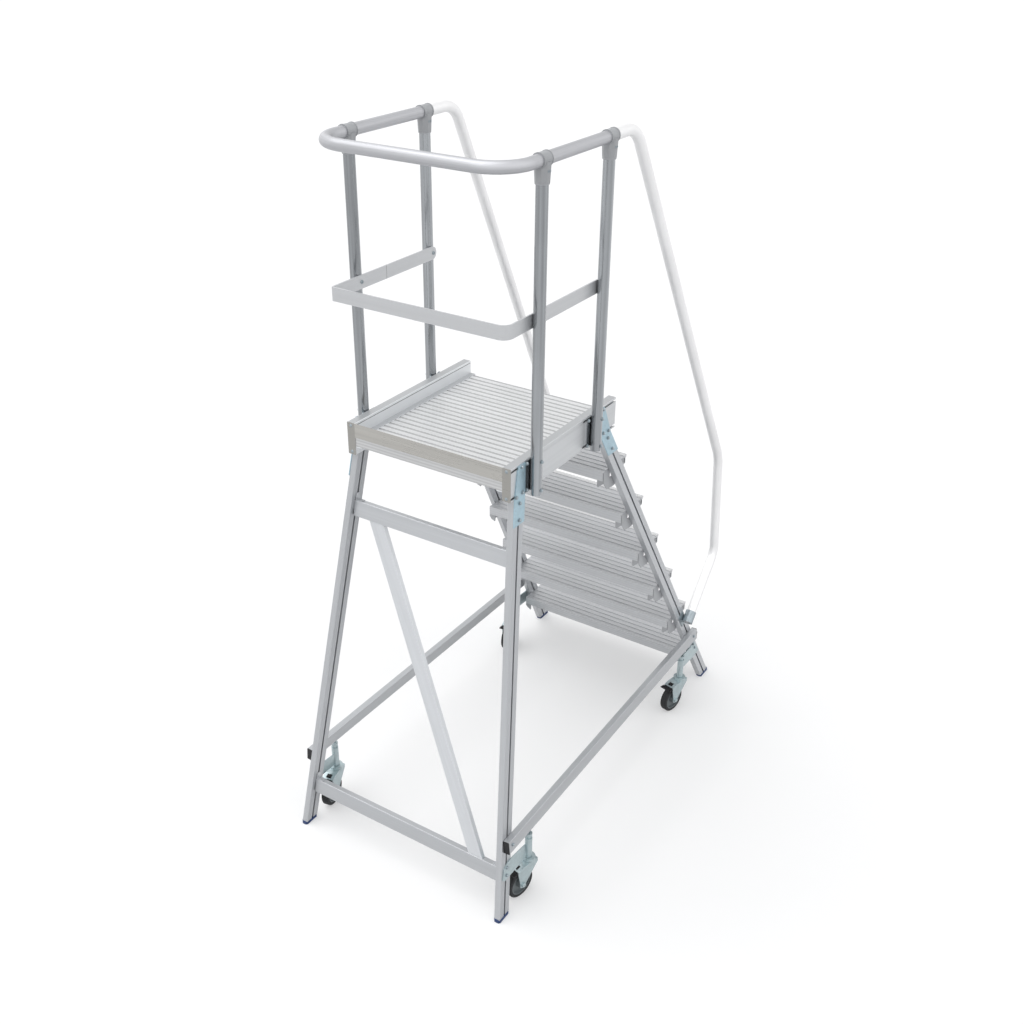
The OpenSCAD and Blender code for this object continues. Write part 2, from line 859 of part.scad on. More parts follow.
module lower_crossbar() {
    crossbar(lower_bar_z);
}

// Tube from the upper crossbar's left end to the lower crossbar's right end
module diagonal_brace() {
    along = cos(atan(leg_slope));
    gap = bar_h / 2 + seat_fit;
    rise = (upper_bar_z - lower_bar_z) / along;
    across = brace_top_x + brace_low_x;
    lean = atan(across / rise);
    length = rise / cos(lean) + 200;
    color(aluminium)
        on_rear_plane(lower_bar_z)
            intersection() {
                translate([-brace_low_x, 0, 0]) rotate([0, lean, 0]) translate([0, 0, -100])
                    linear_extrude(length)
                        translate([-brace_w / 2, -brace_t / 2]) box_section(brace_w, brace_t, bar_wall);
                translate([-leg_foot_x, -bar_t, gap]) cube([2 * leg_foot_x, 2 * bar_t, rise - 2 * gap]);
            }
}

// Angle on top of a crossbar's end, against the slot of the leg
module crossbar_clip(z) {
    thickness = 3;
    leg = 28;
    width = 20;
    top = z + bar_h / 2;
    end = leg_inner_x(z + (bar_h / 2 + leg) * cos(atan(leg_slope))) - seat_fit;
    on_rear_plane(z)
        translate([end, -width / 2, bar_h / 2 + seat_fit]) {
            translate([-leg, 0, 0]) cube([leg, width, thickness]);
            translate([-thickness, 0, 0]) cube([thickness, width, leg]);
        }
}

module crossbar_clips() {
    color(zinc) both_sides() for (z = [upper_bar_z, lower_bar_z]) crossbar_clip(z);
}

// Local Y runs along the left base rail, and local Z climbs its inner face
module on_base_rail() {
    translate([rail_rear.x, rail_rear.y, base_rail_z])
        rotate([0, 0, -rail_toe]) rotate([0, -rail_tilt, 0]) children();
}

module base_rail() {
    color(aluminium)
        on_base_rail()
            bar_y(-rail_l - rail_front_overrun, rail_rear_overrun)
                translate([0, -base_rail_h / 2]) box_section(base_rail_t, base_rail_h, bar_wall);
}

module base_rail_left() {
    base_rail();
}

module base_rail_right() {
    mirror([1, 0, 0]) base_rail();
}

module base_rail_caps() {
    far = -rail_l - rail_front_overrun;
    color(black)
        both_sides() on_base_rail()
            for (y = [far - cap_t - seat_fit, rail_rear_overrun + seat_fit])
                bar_y(y, y + cap_t)
                    translate([0, -base_rail_h / 2]) chamfered(base_rail_t, base_rail_h, 1);
}

// Plate on a beam's outer face, bent at the beam's underside to follow a leg or stile
module rear_gusset() {
    low = beam_low - gusset_drop;
    beam_y = leg_rear_y(beam_low);
    top = beam_top - gusset_top_in;
    front = beam_y - leg_run;
    translate([beam_out + seat_fit, 0, 0]) plate_x(gusset_t)
        polygon([[front, beam_low], [beam_y, beam_low], [front + rear_gusset_top, top], [front, top]]);
    on_leg() translate([seat_fit, 0, 0]) plate_x(gusset_t)
        polygon([
            [front, beam_low / cos(leg_splay)], [beam_y, beam_low / cos(leg_splay)],
            [leg_rear_y(low), low / cos(leg_splay)], [leg_rear_y(low) - leg_run, low / cos(leg_splay)]
        ]);
}

module rear_gussets() {
    color(zinc) both_sides() rear_gusset();
}

module front_gusset() {
    low = beam_low - gusset_drop;
    rear = stile_front_y(beam_low) + stile_run;
    top = beam_top - gusset_top_in;
    translate([beam_out + seat_fit, 0, 0]) plate_x(gusset_t)
        polygon([
            [rear - stile_run, beam_low], [rear, beam_low], [rear, top], [rear - front_gusset_top, top]
        ]);
    on_stile() translate([seat_fit, 0, 0]) plate_x(gusset_t)
        polygon([
            [rear - stile_run, beam_low / cos(stile_splay)], [rear, beam_low / cos(stile_splay)],
            [stile_front_y(low) + stile_run, low / cos(stile_splay)],
            [stile_front_y(low), low / cos(stile_splay)]
        ]);
}

module front_gussets() {
    color(zinc) both_sides() front_gusset();
}

// Upright sleeve for a castor's stem
module sleeve(x, y, d, low, top) {
    translate([x, y, low]) cylinder(d = d, h = top - low);
}

// Plate on the rear leg's slot that carries the rear castor's sleeve
module rear_castor_bracket() {
    low = sleeve_low + 7;
    high = sleeve_low + 63;
    leg_high = high + 12;
    bore = stem_d + 2 * running_fit;
    front = leg_rear_y(high) - leg_run;
    slope = cos(leg_splay);
    difference() {
        union() {
            on_leg() translate([seat_fit, 0, 0]) plate_x(bracket_t)
                polygon([
                    [rear_castor_y, low / slope], [leg_rear_y(low) - 22, low / slope],
                    [leg_rear_y(low) - 10, (low + 10) / slope],
                    [leg_rear_y(high) - 12, (high - 4) / slope],
                    [front + 26, leg_high / slope], [front - 8, leg_high / slope],
                    [rear_castor_y, high / slope]
                ]);
            sleeve(rear_castor_x, rear_castor_y, sleeve_d, sleeve_low, sleeve_top);
        }
        sleeve(rear_castor_x, rear_castor_y, bore, sleeve_low - 1, sleeve_top + 1);
    }
}

// Plate on the stile's slot that carries the front castor's sleeve
module front_castor_bracket() {
    low = sleeve_low + 22;
    high = sleeve_top;
    bore = stem_d + 2 * running_fit;
    rear = stile_front_y(low) + stile_run;
    slope = cos(stile_splay);
    difference() {
        union() {
            on_stile() translate([seat_fit, 0, 0]) plate_x(bracket_t)
                polygon([
                    [front_castor_y, low / slope], [front_castor_y - 48, low / slope],
                    [rear, (low - 6) / slope], [rear - 62, (low - 2) / slope],
                    [rear - 14, (high + 4) / slope], [rear + 32, (high - 8) / slope],
                    [front_castor_y, high / slope]
                ]);
            sleeve(front_castor_x, front_castor_y, sleeve_d, sleeve_low, sleeve_top);
        }
        sleeve(front_castor_x, front_castor_y, bore, sleeve_low - 1, sleeve_top + 1);
    }
}

module castor_brackets() {
    color(zinc)
        both_sides() {
            rear_castor_bracket();
            front_castor_bracket();
        }
}

// Domed nut on a washer, standing on x = 0
module bolt_head() {
    washer_d = 14;
    washer_t = 1.6;
    nut_d = 10.4;
    nut_h = 6;
    rotate([0, 90, 0]) {
        cylinder(d = washer_d, h = washer_t);
        cylinder(d = nut_d, h = nut_h, $fn = 6);
    }
}

// Bolt at a height z on a plate that lies on the rear leg
module leg_bolt(plate_t, z) {
    on_leg() translate([plate_t + 2 * seat_fit, leg_mid_y(z), z / cos(leg_splay)]) bolt_head();
}

// Bolt at a height z on a plate that lies on the stile
module stile_bolt(plate_t, z) {
    on_stile() translate([plate_t + 2 * seat_fit, stile_mid_y(z), z / cos(stile_splay)]) bolt_head();
}

// Bolts of a post's foot: two through its tube and two on each wing of its plate
module post_bolts(y) {
    wing = flange_w / 2 - 7.5;
    for (z = slot_heights) {
        translate([rail_x + rail_d / 2 + seat_fit, y, z]) bolt_head();
        for (s = [-1, 1]) translate([beam_out + flange_t + seat_fit, y + s * wing, z]) bolt_head();
    }
}

// Bolts of the left side, each with its head on the plate that it holds
module side_bolts() {
    on_gusset = beam_out + gusset_t + 2 * seat_fit;
    near = 24;
    rear_y = leg_mid_y(beam_low) - 11;
    rear_pair = 32;
    front_y = stile_mid_y(beam_low);
    front_half = 20;
    front_upper = 28;
    leg_pair = [sleeve_low + 22, sleeve_low + 54];
    stile_pair = [sleeve_top - 36, sleeve_top - 8];
    post_bolts(rear_post_y);
    post_bolts(front_post_y);
    translate([on_gusset, rear_y, slot_heights[1]]) bolt_head();
    for (y = [rear_y, rear_y + rear_pair]) translate([on_gusset, y, slot_heights[0]]) bolt_head();
    for (z = [beam_low - near, beam_low - gusset_drop + 12]) leg_bolt(gusset_t, z);
    translate([on_gusset, front_y + front_upper, slot_heights[1] - 2]) bolt_head();
    for (y = [front_y - front_half, front_y + front_half])
        translate([on_gusset, y, slot_heights[0]]) bolt_head();
    for (z = [beam_low - near, beam_low - gusset_drop + 16]) stile_bolt(gusset_t, z);
    for (z = leg_pair) leg_bolt(bracket_t, z);
    for (z = stile_pair) stile_bolt(bracket_t, z);
    for (y = [0, -rail_l])
        on_base_rail() translate([base_rail_t + seat_fit, y, 0]) bolt_head();
}

module frame_bolts() {
    color(zinc) both_sides() side_bolts();
}

// Stem of a castor: a pin with its race, rivet and socketed top cap, about the origin
module stem() {
    crown_low = crown_top - crown_t;
    cap_d = 27;
    socket_d = 12;
    socket_depth = 7;
    color(zinc)
        difference() {
            union() {
                translate([0, 0, crown_low - race_gap - 1])
                    cylinder(d = stem_d, h = nut_low - crown_low + 2);
                translate([0, 0, crown_low - race_gap - rivet_t]) cylinder(d = rivet_d, h = rivet_t);
                translate([0, 0, crown_top + race_gap]) cylinder(d = race_d, h = race_t);
                translate([0, 0, nut_low]) cylinder(d = cap_d, h = nut_t);
            }
            translate([0, 0, nut_low + nut_t - socket_depth]) cylinder(d = socket_d, h = socket_depth + 1);
        }
}

// Outline of a fork's side plate, in (y, z) about the stem's axis
module fork_cheek() {
    lug_r = 15;
    nose = 27;
    edge_h = 9;
    translate([trail, wheel_r]) circle(lug_r);
    polygon([
        [-nose, crown_top], [hood_bend_y, crown_top], [hood_end_y, hood_end_z],
        [hood_end_y, hood_end_z - edge_h], [trail + lug_r - 1, wheel_r + 5],
        [trail + lug_r - 2, wheel_r - 6], [trail - lug_r + 1, wheel_r - 4], [-nose, crown_top - crown_t]
    ]);
}

// Hood between a fork's side plates, over the pedal, with a window for the pedal's button
module fork_hood() {
    bridge_end = 29;
    difference() {
        bar_x(2 * fork_in + 2)
            polygon([
                [bridge_end - 1, crown_top], [hood_bend_y, crown_top], [hood_end_y, hood_end_z],
                [hood_end_y, hood_end_z - hood_t], [hood_bend_y, crown_top - hood_t],
                [bridge_end - 1, crown_top - hood_t]
            ]);
        translate([-window_w / 2, window_y[0], hood_end_z - crown_t])
            cube([window_w, window_y[1] - window_y[0], 2 * crown_t]);
    }
}

// Fork of a castor with its axle and its pedal's pin
module fork() {
    crown_low = crown_top - crown_t;
    bridge_t = 8;
    nut_w = 20;
    axle_nut_t = 7;
    color(zinc)
        difference() {
            union() {
                translate([0, 0, crown_low]) cylinder(d = race_d, h = crown_t);
                translate([-fork_in - 1, -27, crown_top - bridge_t]) cube([2 * fork_in + 2, 56, bridge_t]);
                fork_hood();
                for (x = [-fork_out, fork_in]) translate([x, 0, 0]) plate_x(fork_t) fork_cheek();
                translate([0, trail, wheel_r]) rotate([0, 90, 0])
                    cylinder(d = axle_d, h = 2 * fork_out + 10, center = true);
                for (x = [-fork_out - axle_nut_t, fork_out]) translate([x, trail, wheel_r])
                    rotate([0, 90, 0]) cylinder(d = nut_w, h = axle_nut_t, $fn = 6);
                translate([0, pedal_y, pedal_z]) rotate([0, 90, 0])
                    cylinder(d = pedal_pin_d, h = 2 * fork_out, center = true);
            }
            translate([0, 0, crown_low - 1])
                cylinder(d = stem_d + 2 * running_fit, h = crown_t + 2);
        }
}

// Hub of a wheel: rim, dished web and boss, with the axle's bore
module hub() {
    boss_r = 16;
    rim_r = tyre_in - seat_fit;
    rim_t = 6;
    half_rim = wheel_w / 2 - 1;
    half_web = 5;
    bore_r = axle_d / 2 + running_fit;
    color(hub_grey)
        translate([0, trail, wheel_r]) rotate([0, 90, 0])
            rotate_extrude($fn = spin_fn)
                polygon([
                    [bore_r, -hub_w / 2], [boss_r, -hub_w / 2], [boss_r + 3, -half_web],
                    [rim_r - rim_t, -half_web], [rim_r - rim_t + 2, -half_rim], [rim_r, -half_rim],
                    [rim_r, half_rim], [rim_r - rim_t + 2, half_rim], [rim_r - rim_t, half_web],
                    [boss_r + 3, half_web], [boss_r, hub_w / 2], [bore_r, hub_w / 2]
                ]);
}

// Tyre with rounded shoulders
module tyre() {
    shoulder = 6;
    half = wheel_w / 2;
    color(black)
        translate([0, trail, wheel_r]) rotate([0, 90, 0])
            rotate_extrude($fn = spin_fn)
                union() {
                    translate([tyre_in, -half]) square([wheel_r - tyre_in - shoulder, wheel_w]);
                    translate([tyre_in, -half + shoulder])
                        square([wheel_r - tyre_in, wheel_w - 2 * shoulder]);
                    for (s = [-1, 1])
                        translate([wheel_r - shoulder, s * (half - shoulder)]) circle(shoulder);
                }
}

// Brake pedal on its pin: a blade under the hood with a shoe, a button and a wide wing
module pedal() {
    half = fork_in - 1;
    knuckle = pedal_knuckle_d / 2;
    shoe = -knuckle - 0.3;
    wing_y = hood_end_y - pedal_y + 3;
    wing_w = 2 * fork_out + 6;
    wing_tip = 64;
    button_w = window_w - 3;
    button_y = [15, 29];
    button_top = 10.2;
    color(black)
        translate([0, pedal_y, pedal_z])
            difference() {
                union() {
                    rotate([0, 90, 0]) cylinder(d = pedal_knuckle_d, h = 2 * half, center = true);
                    bar_x(2 * half)
                        polygon([
                            [0, knuckle], [0, 2 - knuckle], [6, shoe], [20, shoe], [26, 4 - knuckle],
                            [wing_y + 1, 4 - knuckle], [wing_y + 1, -0.5], [7, knuckle - 0.4]
                        ]);
                    bar_x(wing_w)
                        polygon([
                            [wing_y, 4 - knuckle], [wing_tip, 6 - knuckle], [wing_tip, 2.5], [wing_y, -0.3]
                        ]);
                    bar_x(button_w)
                        polygon([
                            [button_y[0], 2], [button_y[1], 0], [button_y[1], button_top],
                            [button_y[0], button_top]
                        ]);
                }
                rotate([0, 90, 0])
                    cylinder(d = pedal_pin_d + 2 * running_fit, h = 2 * fork_out, center = true);
            }
}

// Puts a castor piece at one of the four corners
module at_castor(front, side) {
    x = front ? front_castor_x : rear_castor_x;
    y = front ? front_castor_y : rear_castor_y;
    translate([side * x, y, 0]) rotate(side * castor_turn) children();
}

module castor_piece(name) {
    if (name == "stem") stem();
    if (name == "fork") fork();
    if (name == "hub") hub();
    if (name == "tyre") tyre();
    if (name == "pedal") pedal();
}

side_beam_left();
side_beam_right();
slot_covers();
deck_planks();
rear_toe_strip();
post_rear_left();
post_rear_right();
post_front_left();
post_front_right();
guard_rail();
tee_fittings();
knee_rail();
handrail_left();
handrail_right();
handrail_clamps();
stile_left();
stile_right();
tread_1();
tread_2();
tread_3();
tread_4();
tread_5();
tread_6();
tread_brackets();
rear_leg_left();
rear_leg_right();
rubber_feet();
upper_crossbar();
lower_crossbar();
diagonal_brace();
crossbar_clips();
base_rail_left();
base_rail_right();
base_rail_caps();
rear_gussets();
front_gussets();
castor_brackets();
frame_bolts();

for (piece = ["stem", "fork", "hub", "tyre", "pedal"]) {
    at_castor(false, 1) castor_piece(piece);
    at_castor(false, -1) castor_piece(piece);
    at_castor(true, 1) castor_piece(piece);
    at_castor(true, -1) castor_piece(piece);
}
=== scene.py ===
# %% [markdown]
# # A mobile podium step
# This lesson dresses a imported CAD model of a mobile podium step: an aluminium stair that climbs
# to a railed platform on splayed legs, with sprung castors. The CAD model already has nearly every
# rigid shape, so most of the work here is finish: extruded, cast, plated and moulded surfaces. The
# rest is small: fasteners, the castings that join the guard rail to its posts, and grips.

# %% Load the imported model
import json
import math

import bmesh
import bpy
from mathutils import Matrix, Vector


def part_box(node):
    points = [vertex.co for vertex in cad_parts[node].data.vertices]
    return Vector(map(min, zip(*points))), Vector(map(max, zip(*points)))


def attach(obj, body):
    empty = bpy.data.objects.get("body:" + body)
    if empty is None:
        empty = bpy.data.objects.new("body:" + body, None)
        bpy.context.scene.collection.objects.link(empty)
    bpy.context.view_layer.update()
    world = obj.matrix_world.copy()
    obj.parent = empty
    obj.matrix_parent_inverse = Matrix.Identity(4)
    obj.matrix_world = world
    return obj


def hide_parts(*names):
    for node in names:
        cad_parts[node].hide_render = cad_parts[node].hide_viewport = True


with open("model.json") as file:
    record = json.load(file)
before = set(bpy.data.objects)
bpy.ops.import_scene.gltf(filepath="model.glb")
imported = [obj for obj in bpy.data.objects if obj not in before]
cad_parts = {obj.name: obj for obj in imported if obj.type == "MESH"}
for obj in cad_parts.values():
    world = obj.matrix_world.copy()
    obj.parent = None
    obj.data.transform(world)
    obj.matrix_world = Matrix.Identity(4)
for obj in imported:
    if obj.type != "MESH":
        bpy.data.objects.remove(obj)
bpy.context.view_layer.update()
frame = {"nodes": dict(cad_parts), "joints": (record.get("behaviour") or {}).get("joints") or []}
nodes = frame["nodes"]

# %% Directions and repeated names
ACROSS = (1, 0, 0)
ALONG = (0, 1, 0)
UPRIGHT = (0, 0, 1)
STEPS = range(1, 7)
CORNERS = ("rear_left", "rear_right", "front_left", "front_right")

# %% [markdown]
# ## The camera
# The photograph was taken from behind the platform, above its guard rail. A camera fitted to the
# treads, posts and feet gives its place, its angles and its lens. Blender's camera looks along its
# own -Z axis, so its matrix is built from the directions to the right, up and back.

# %% Camera
CAMERA_AT = Vector((-2.1693, 3.5372, 3.4519))
CAMERA_AZIMUTH = math.radians(212.408)
CAMERA_ELEVATION = math.radians(28.833)
CAMERA_ROLL = math.radians(0.559)
CAMERA_LENS = 41.415
CAMERA_SENSOR = 36.0


def camera_axes(azimuth, elevation, roll):
    back = Vector((
        math.sin(azimuth) * math.cos(elevation),
        -math.cos(azimuth) * math.cos(elevation),
        math.sin(elevation),
    ))
    level = Vector((math.cos(azimuth), math.sin(azimuth), 0.0))
    upright = back.cross(level)
    right = math.cos(roll) * level + math.sin(roll) * upright
    up = math.cos(roll) * upright - math.sin(roll) * level
    return right, up, back


camera_data = bpy.data.cameras.new("camera")
camera_data.lens = CAMERA_LENS
camera_data.sensor_width = CAMERA_SENSOR
camera = bpy.data.objects.new("camera", camera_data)
bpy.context.scene.collection.objects.link(camera)
axes = camera_axes(CAMERA_AZIMUTH, CAMERA_ELEVATION, CAMERA_ROLL)
camera.matrix_world = Matrix.Translation(CAMERA_AT) @ Matrix(axes).transposed().to_4x4()
bpy.context.scene.camera = camera
bpy.context.scene.view_settings.view_transform = "Standard"
print("camera", tuple(round(v, 3) for v in camera.location))

# %% [markdown]
# ## Shader maths as Python
# A material is a graph of nodes, which is slow to read as code. Here a small class stands for one
# output of the graph, so that a sum written in Python adds the Math nodes by itself. Every other
# node comes from one method, which sets the node's options first and its sockets after.


# %% Socket and graph classes
class Value:
    def __init__(self, graph, socket):
        self.graph = graph
        self.socket = socket

    def maths(self, operation, first, second):
        return self.graph.add("ShaderNodeMath", {"operation": operation}, {0: first, 1: second})

    def __add__(self, other):
        return self.maths("ADD", self, other)

    def __radd__(self, other):
        return self.maths("ADD", other, self)

    def __sub__(self, other):
        return self.maths("SUBTRACT", self, other)

    def __rsub__(self, other):
        return self.maths("SUBTRACT", other, self)

    def __mul__(self, other):
        return self.maths("MULTIPLY", self, other)

    def __rmul__(self, other):
        return self.maths("MULTIPLY", other, self)

    def __gt__(self, other):
        return self.maths("GREATER_THAN", self, other)

    def __lt__(self, other):
        return self.maths("LESS_THAN", self, other)

    def highest(self, other):
        return self.maths("MAXIMUM", self, other)

    def wave(self, pitch):
        """Sine that comes round once in each pitch."""
        return self.maths("SINE", self * (2 * math.pi / pitch), 0.0)


def shade(colour, factor):
    return tuple(channel * factor for channel in colour)


class Graph:
    def __init__(self, tree):
        self.tree = tree
        tree.nodes.clear()

    def add(self, kind, settings=None, sockets=None, output=0):
        node = self.tree.nodes.new(kind)
        for name, setting in (settings or {}).items():
            setattr(node, name, setting)
        for name, value in (sockets or {}).items():
            self.feed(node.inputs[name], value)
        return Value(self, node.outputs[output]) if node.outputs else node

    def feed(self, socket, value):
        if isinstance(value, Value):
            self.tree.links.new(value.socket, socket)
        else:
            socket.default_value = value

    def coordinates(self):
        return self.add("ShaderNodeTexCoord", output="Object")

    def stretched(self, point, stretch):
        return self.add("ShaderNodeVectorMath", {"operation": "MULTIPLY"}, {0: point, 1: stretch})

    def noise(self, point, scale=1.0, detail=2.0):
        return self.add("ShaderNodeTexNoise", None, {"Vector": point, "Scale": scale, "Detail": detail})

    def blend(self, factor, first, second):
        ends = [end if isinstance(end, Value) else (*end, 1.0) for end in (first, second)]
        settings = {"data_type": "RGBA"}
        return self.add("ShaderNodeMix", settings, {"Factor": factor, 6: ends[0], 7: ends[1]}, output=2)

    def shades(self, factor, colour, ends):
        """A colour between its darkest and its palest shade, which are factors of it."""
        darkest, palest = ends
        return self.blend(factor, shade(colour, darkest), shade(colour, palest))

    def bump(self, height, strength, distance):
        sockets = {"Strength": strength, "Distance": distance, "Height": height}
        return self.add("ShaderNodeBump", None, sockets)

    def axes_of(self, vector):
        outputs = self.add("ShaderNodeSeparateXYZ", None, {0: vector}).socket.node.outputs
        return [Value(self, outputs[axis]) for axis in "XYZ"]

    def looks_along(self, axis, least):
        normal = self.add("ShaderNodeNewGeometry", output="Normal")
        return self.axes_of(normal)["XYZ".index(axis)] > least

    def finish(self, sockets):
        shader = self.add("ShaderNodeBsdfPrincipled", None, sockets)
        self.add("ShaderNodeOutputMaterial", None, {"Surface": shader})


def new_graph(name):
    material = bpy.data.materials.new(name)
    material.use_nodes = True
    return material, Graph(material.node_tree)


# %% [markdown]
# ## Studio
# The photograph is a cut-out on white with a faint shadow. A white world does that for the rays of
# the camera and of reflections, and a softer grey lights the object. The floor does the same: a share
# of what the camera sees of it is plain white, the rest takes the shadow, and the light that it
# throws back up at the object is dimmer, so that upright faces stay darker than flat ones. A lamp is
# given by the direction it shines in, its strength and its spread in degrees.

# %% World and lamps
AMBIENT = (0.34, 0.345, 0.355)
WHITE = (1.0, 1.0, 1.0)
LAMPS = {
    "key_lamp": ((-0.35, -0.30, -1.1), 1.6, 60),
    "rear_lamp": ((0.2, -0.85, -0.45), 0.75, 80),
    "right_lamp": ((0.9, 0.2, -0.35), 0.9, 80),
    "left_lamp": ((-0.95, 0.1, -0.35), 0.6, 80),
}


def rays_that_see(graph):
    path = graph.add("ShaderNodeLightPath").socket.node
    seen = Value(graph, path.outputs["Is Camera Ray"])
    for ray in ("Is Glossy Ray", "Is Transmission Ray"):
        seen = seen.highest(Value(graph, path.outputs[ray]))
    return seen


def add_lamp(name, towards, strength, spread):
    data = bpy.data.lights.new(name, "SUN")
    data.energy = strength
    data.angle = math.radians(spread)
    lamp = bpy.data.objects.new(name, data)
    lamp.rotation_euler = Vector(towards).to_track_quat("-Z", "Y").to_euler()
    bpy.context.scene.collection.objects.link(lamp)


world = bpy.data.worlds.new("studio")
world.use_nodes = True
bpy.context.scene.world = world
sky = Graph(world.node_tree)
sky_colour = sky.blend(rays_that_see(sky), AMBIENT, WHITE)
background = sky.add("ShaderNodeBackground", None, {"Color": sky_colour, "Strength": 1.0})
sky.add("ShaderNodeOutputWorld", None, {"Surface": background})
for name, (towards, strength, spread) in LAMPS.items():
    add_lamp(name, towards, strength, spread)
print("lamps", [light.name for light in bpy.data.lights])

# %% Floor
FLOOR_COLOUR = (0.97, 0.97, 0.97)
FLOOR_BOUNCE = (0.42, 0.42, 0.42)
FLOOR_WHITE_SHARE = 0.35
FLOOR_HALF = 60.0
SQUARE = ((-1, -1), (1, -1), (1, 1), (-1, 1))

floor_mesh = bpy.data.meshes.new("floor")
corners = [(x * FLOOR_HALF, y * FLOOR_HALF, 0.0) for x, y in SQUARE]
floor_mesh.from_pydata(corners, [], [(0, 1, 2, 3)])
floor = bpy.data.objects.new("floor", floor_mesh)
bpy.context.scene.collection.objects.link(floor)
floor_finish, graph = new_graph("floor_paper")
seen = rays_that_see(graph)
paper_colour = graph.blend(seen, FLOOR_BOUNCE, FLOOR_COLOUR)
paper = graph.add("ShaderNodeBsdfDiffuse", None, {"Color": paper_colour})
glow = graph.add("ShaderNodeEmission", None, {"Color": (*WHITE, 1.0), "Strength": 1.0})
surface = graph.add("ShaderNodeMixShader", None, {0: seen * FLOOR_WHITE_SHARE, 1: paper, 2: glow})
graph.add("ShaderNodeOutputMaterial", None, {"Surface": surface})
floor_mesh.materials.append(floor_finish)
print("floor", floor.dimensions.x, "m wide")

# %% [markdown]
# ## Aluminium
# Extruded aluminium carries faint lines along its length, drawn by the die, and slightly cloudy
# patches from handling. The lines have to follow each bar, and the bars lean in different ways, so
# a function makes one finish for each direction: it turns the coordinates to the bar, then squeezes
# them so that a noise becomes streaks. A bar that is bent in the flat needs no turn, because its
# lines stay level all the way round.

# %% Extruded finish
PROFILE = (0.545, 0.560, 0.580)
FINE_LINES, FINE_RUN = 620.0, 3.0
BROAD_LINES, BROAD_RUN = 70.0, 0.8
METAL_CLOUDS = 6.0
CLOUD_SHARE = 0.15
CLOUD_ROUGHNESS = 0.14
LINE_POLISH = 0.05
ROUGHNESS_SHIFT = 0.06
LINE_BUMP = 0.12
BUMP_DEPTH = 0.0004


def streaks(graph, point, along):
    """Fine and broad lines along a direction, or level ones where it is None."""
    if along:
        turn = Vector(along).to_track_quat("Z", "Y").inverted().to_euler()
        point = graph.add("ShaderNodeMapping", None, {"Vector": point, "Rotation": turn})
        fine = (FINE_LINES, FINE_LINES, FINE_RUN)
        broad = (BROAD_LINES, BROAD_LINES, BROAD_RUN)
    else:
        fine = (FINE_RUN, FINE_RUN, FINE_LINES)
        broad = (BROAD_RUN, BROAD_RUN, BROAD_LINES)
    lines = graph.noise(graph.stretched(point, fine), detail=1.0)
    bands = graph.noise(graph.stretched(point, broad))
    return lines, bands


def extruded_finish(
    name, along, colour=PROFILE, roughness=0.36, metallic=0.45, contrast=0.14, marks=None, fine=0.3
):
    """Drawn metal; marks gives masks, each with the share of the colour that shows under it."""
    material, graph = new_graph(name)
    point = graph.coordinates()
    lines, bands = streaks(graph, point, along)
    clouds = graph.noise(point, scale=METAL_CLOUDS, detail=3.0)
    tone = (1.0 - CLOUD_SHARE - fine) * bands + fine * lines + CLOUD_SHARE * clouds
    paint = graph.shades(tone, colour, (1.0 - contrast, 1.0 + contrast))
    for mask, share in marks(graph, point) if marks else ():
        paint = graph.blend(mask, paint, shade(colour, share))
    graph.finish({
        "Base Color": paint,
        "Metallic": metallic,
        "Roughness": roughness - ROUGHNESS_SHIFT + CLOUD_ROUGHNESS * clouds - LINE_POLISH * lines,
        "Normal": graph.bump(lines, LINE_BUMP, BUMP_DEPTH),
    })
    return material


def size_of(node):
    low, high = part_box(node)
    return high - low


def leaning(node, x_sign, y_sign):
    size = size_of(node)
    return (x_sign * size.x, y_sign * size.y, size.z)


# %% Finishes of the bars
BEAM = (0.63, 0.645, 0.66)
BASE_SHADE = 0.90
LEG_SHADE = 0.93
BRACE_SHADE = 1.22
BEAM_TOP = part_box("side_beam_left")[1].z
BEAM_LINE_LOW, BEAM_LINE_HIGH = BEAM_TOP - 0.0105, BEAM_TOP - 0.0080
BEAM_INNER_HALF = 0.312
LOOKS_UP = 0.9
# The beams' inner sides get painted light, the groove below their top painted shade, and faces that
# look up are made darker.
INNER_LIGHT_COVER, INNER_PAINTED_LIGHT = 0.8, 1.32
UPWARD_COVER, UPWARD_SHARE = 0.8, 0.68
GROOVE_SHADOW_COVER, SEAM_AND_GROOVE_SHADOW = 0.9, 0.25


def beam_marks(graph, point):
    """Painted light on the inner sides, darker faces that look up, painted shade in the groove below
    the top.
    """
    across, _, height = graph.axes_of(point)
    inner = (across < BEAM_INNER_HALF) * (across > -BEAM_INNER_HALF)
    upward_faces = graph.looks_along("Z", LOOKS_UP)
    groove = inner * (height > BEAM_LINE_LOW) * (height < BEAM_LINE_HIGH)
    # Painted light on the inner sides, painted shade in the groove, and darker faces that look up.
    return [
        (INNER_LIGHT_COVER * inner, INNER_PAINTED_LIGHT),
        (UPWARD_COVER * upward_faces, UPWARD_SHARE),
        (GROOVE_SHADOW_COVER * groove, SEAM_AND_GROOVE_SHADOW),
    ]


base_profile = shade(PROFILE, BASE_SHADE)
brace_profile = shade(PROFILE, BRACE_SHADE)
leg_profile = shade(PROFILE, LEG_SHADE)
beam_finish = extruded_finish("beam_aluminium", ALONG, BEAM, marks=beam_marks)
base_finish = extruded_finish("base_rail_aluminium", ALONG, base_profile)
crossbar_finish = extruded_finish("crossbar_aluminium", ACROSS)
lower_finish = extruded_finish("lower_crossbar_aluminium", ACROSS, base_profile)
brace_finish = extruded_finish("brace_aluminium", leaning("diagonal_brace", 1, -1), brace_profile)
finishes = {
    "side_beam_left": beam_finish,
    "side_beam_right": beam_finish,
    "slot_covers": beam_finish,
    "base_rail_left": base_finish,
    "base_rail_right": base_finish,
    "upper_crossbar": crossbar_finish,
    "lower_crossbar": lower_finish,
    "crossbar_clips": crossbar_finish,
    "diagonal_brace": brace_finish,
}
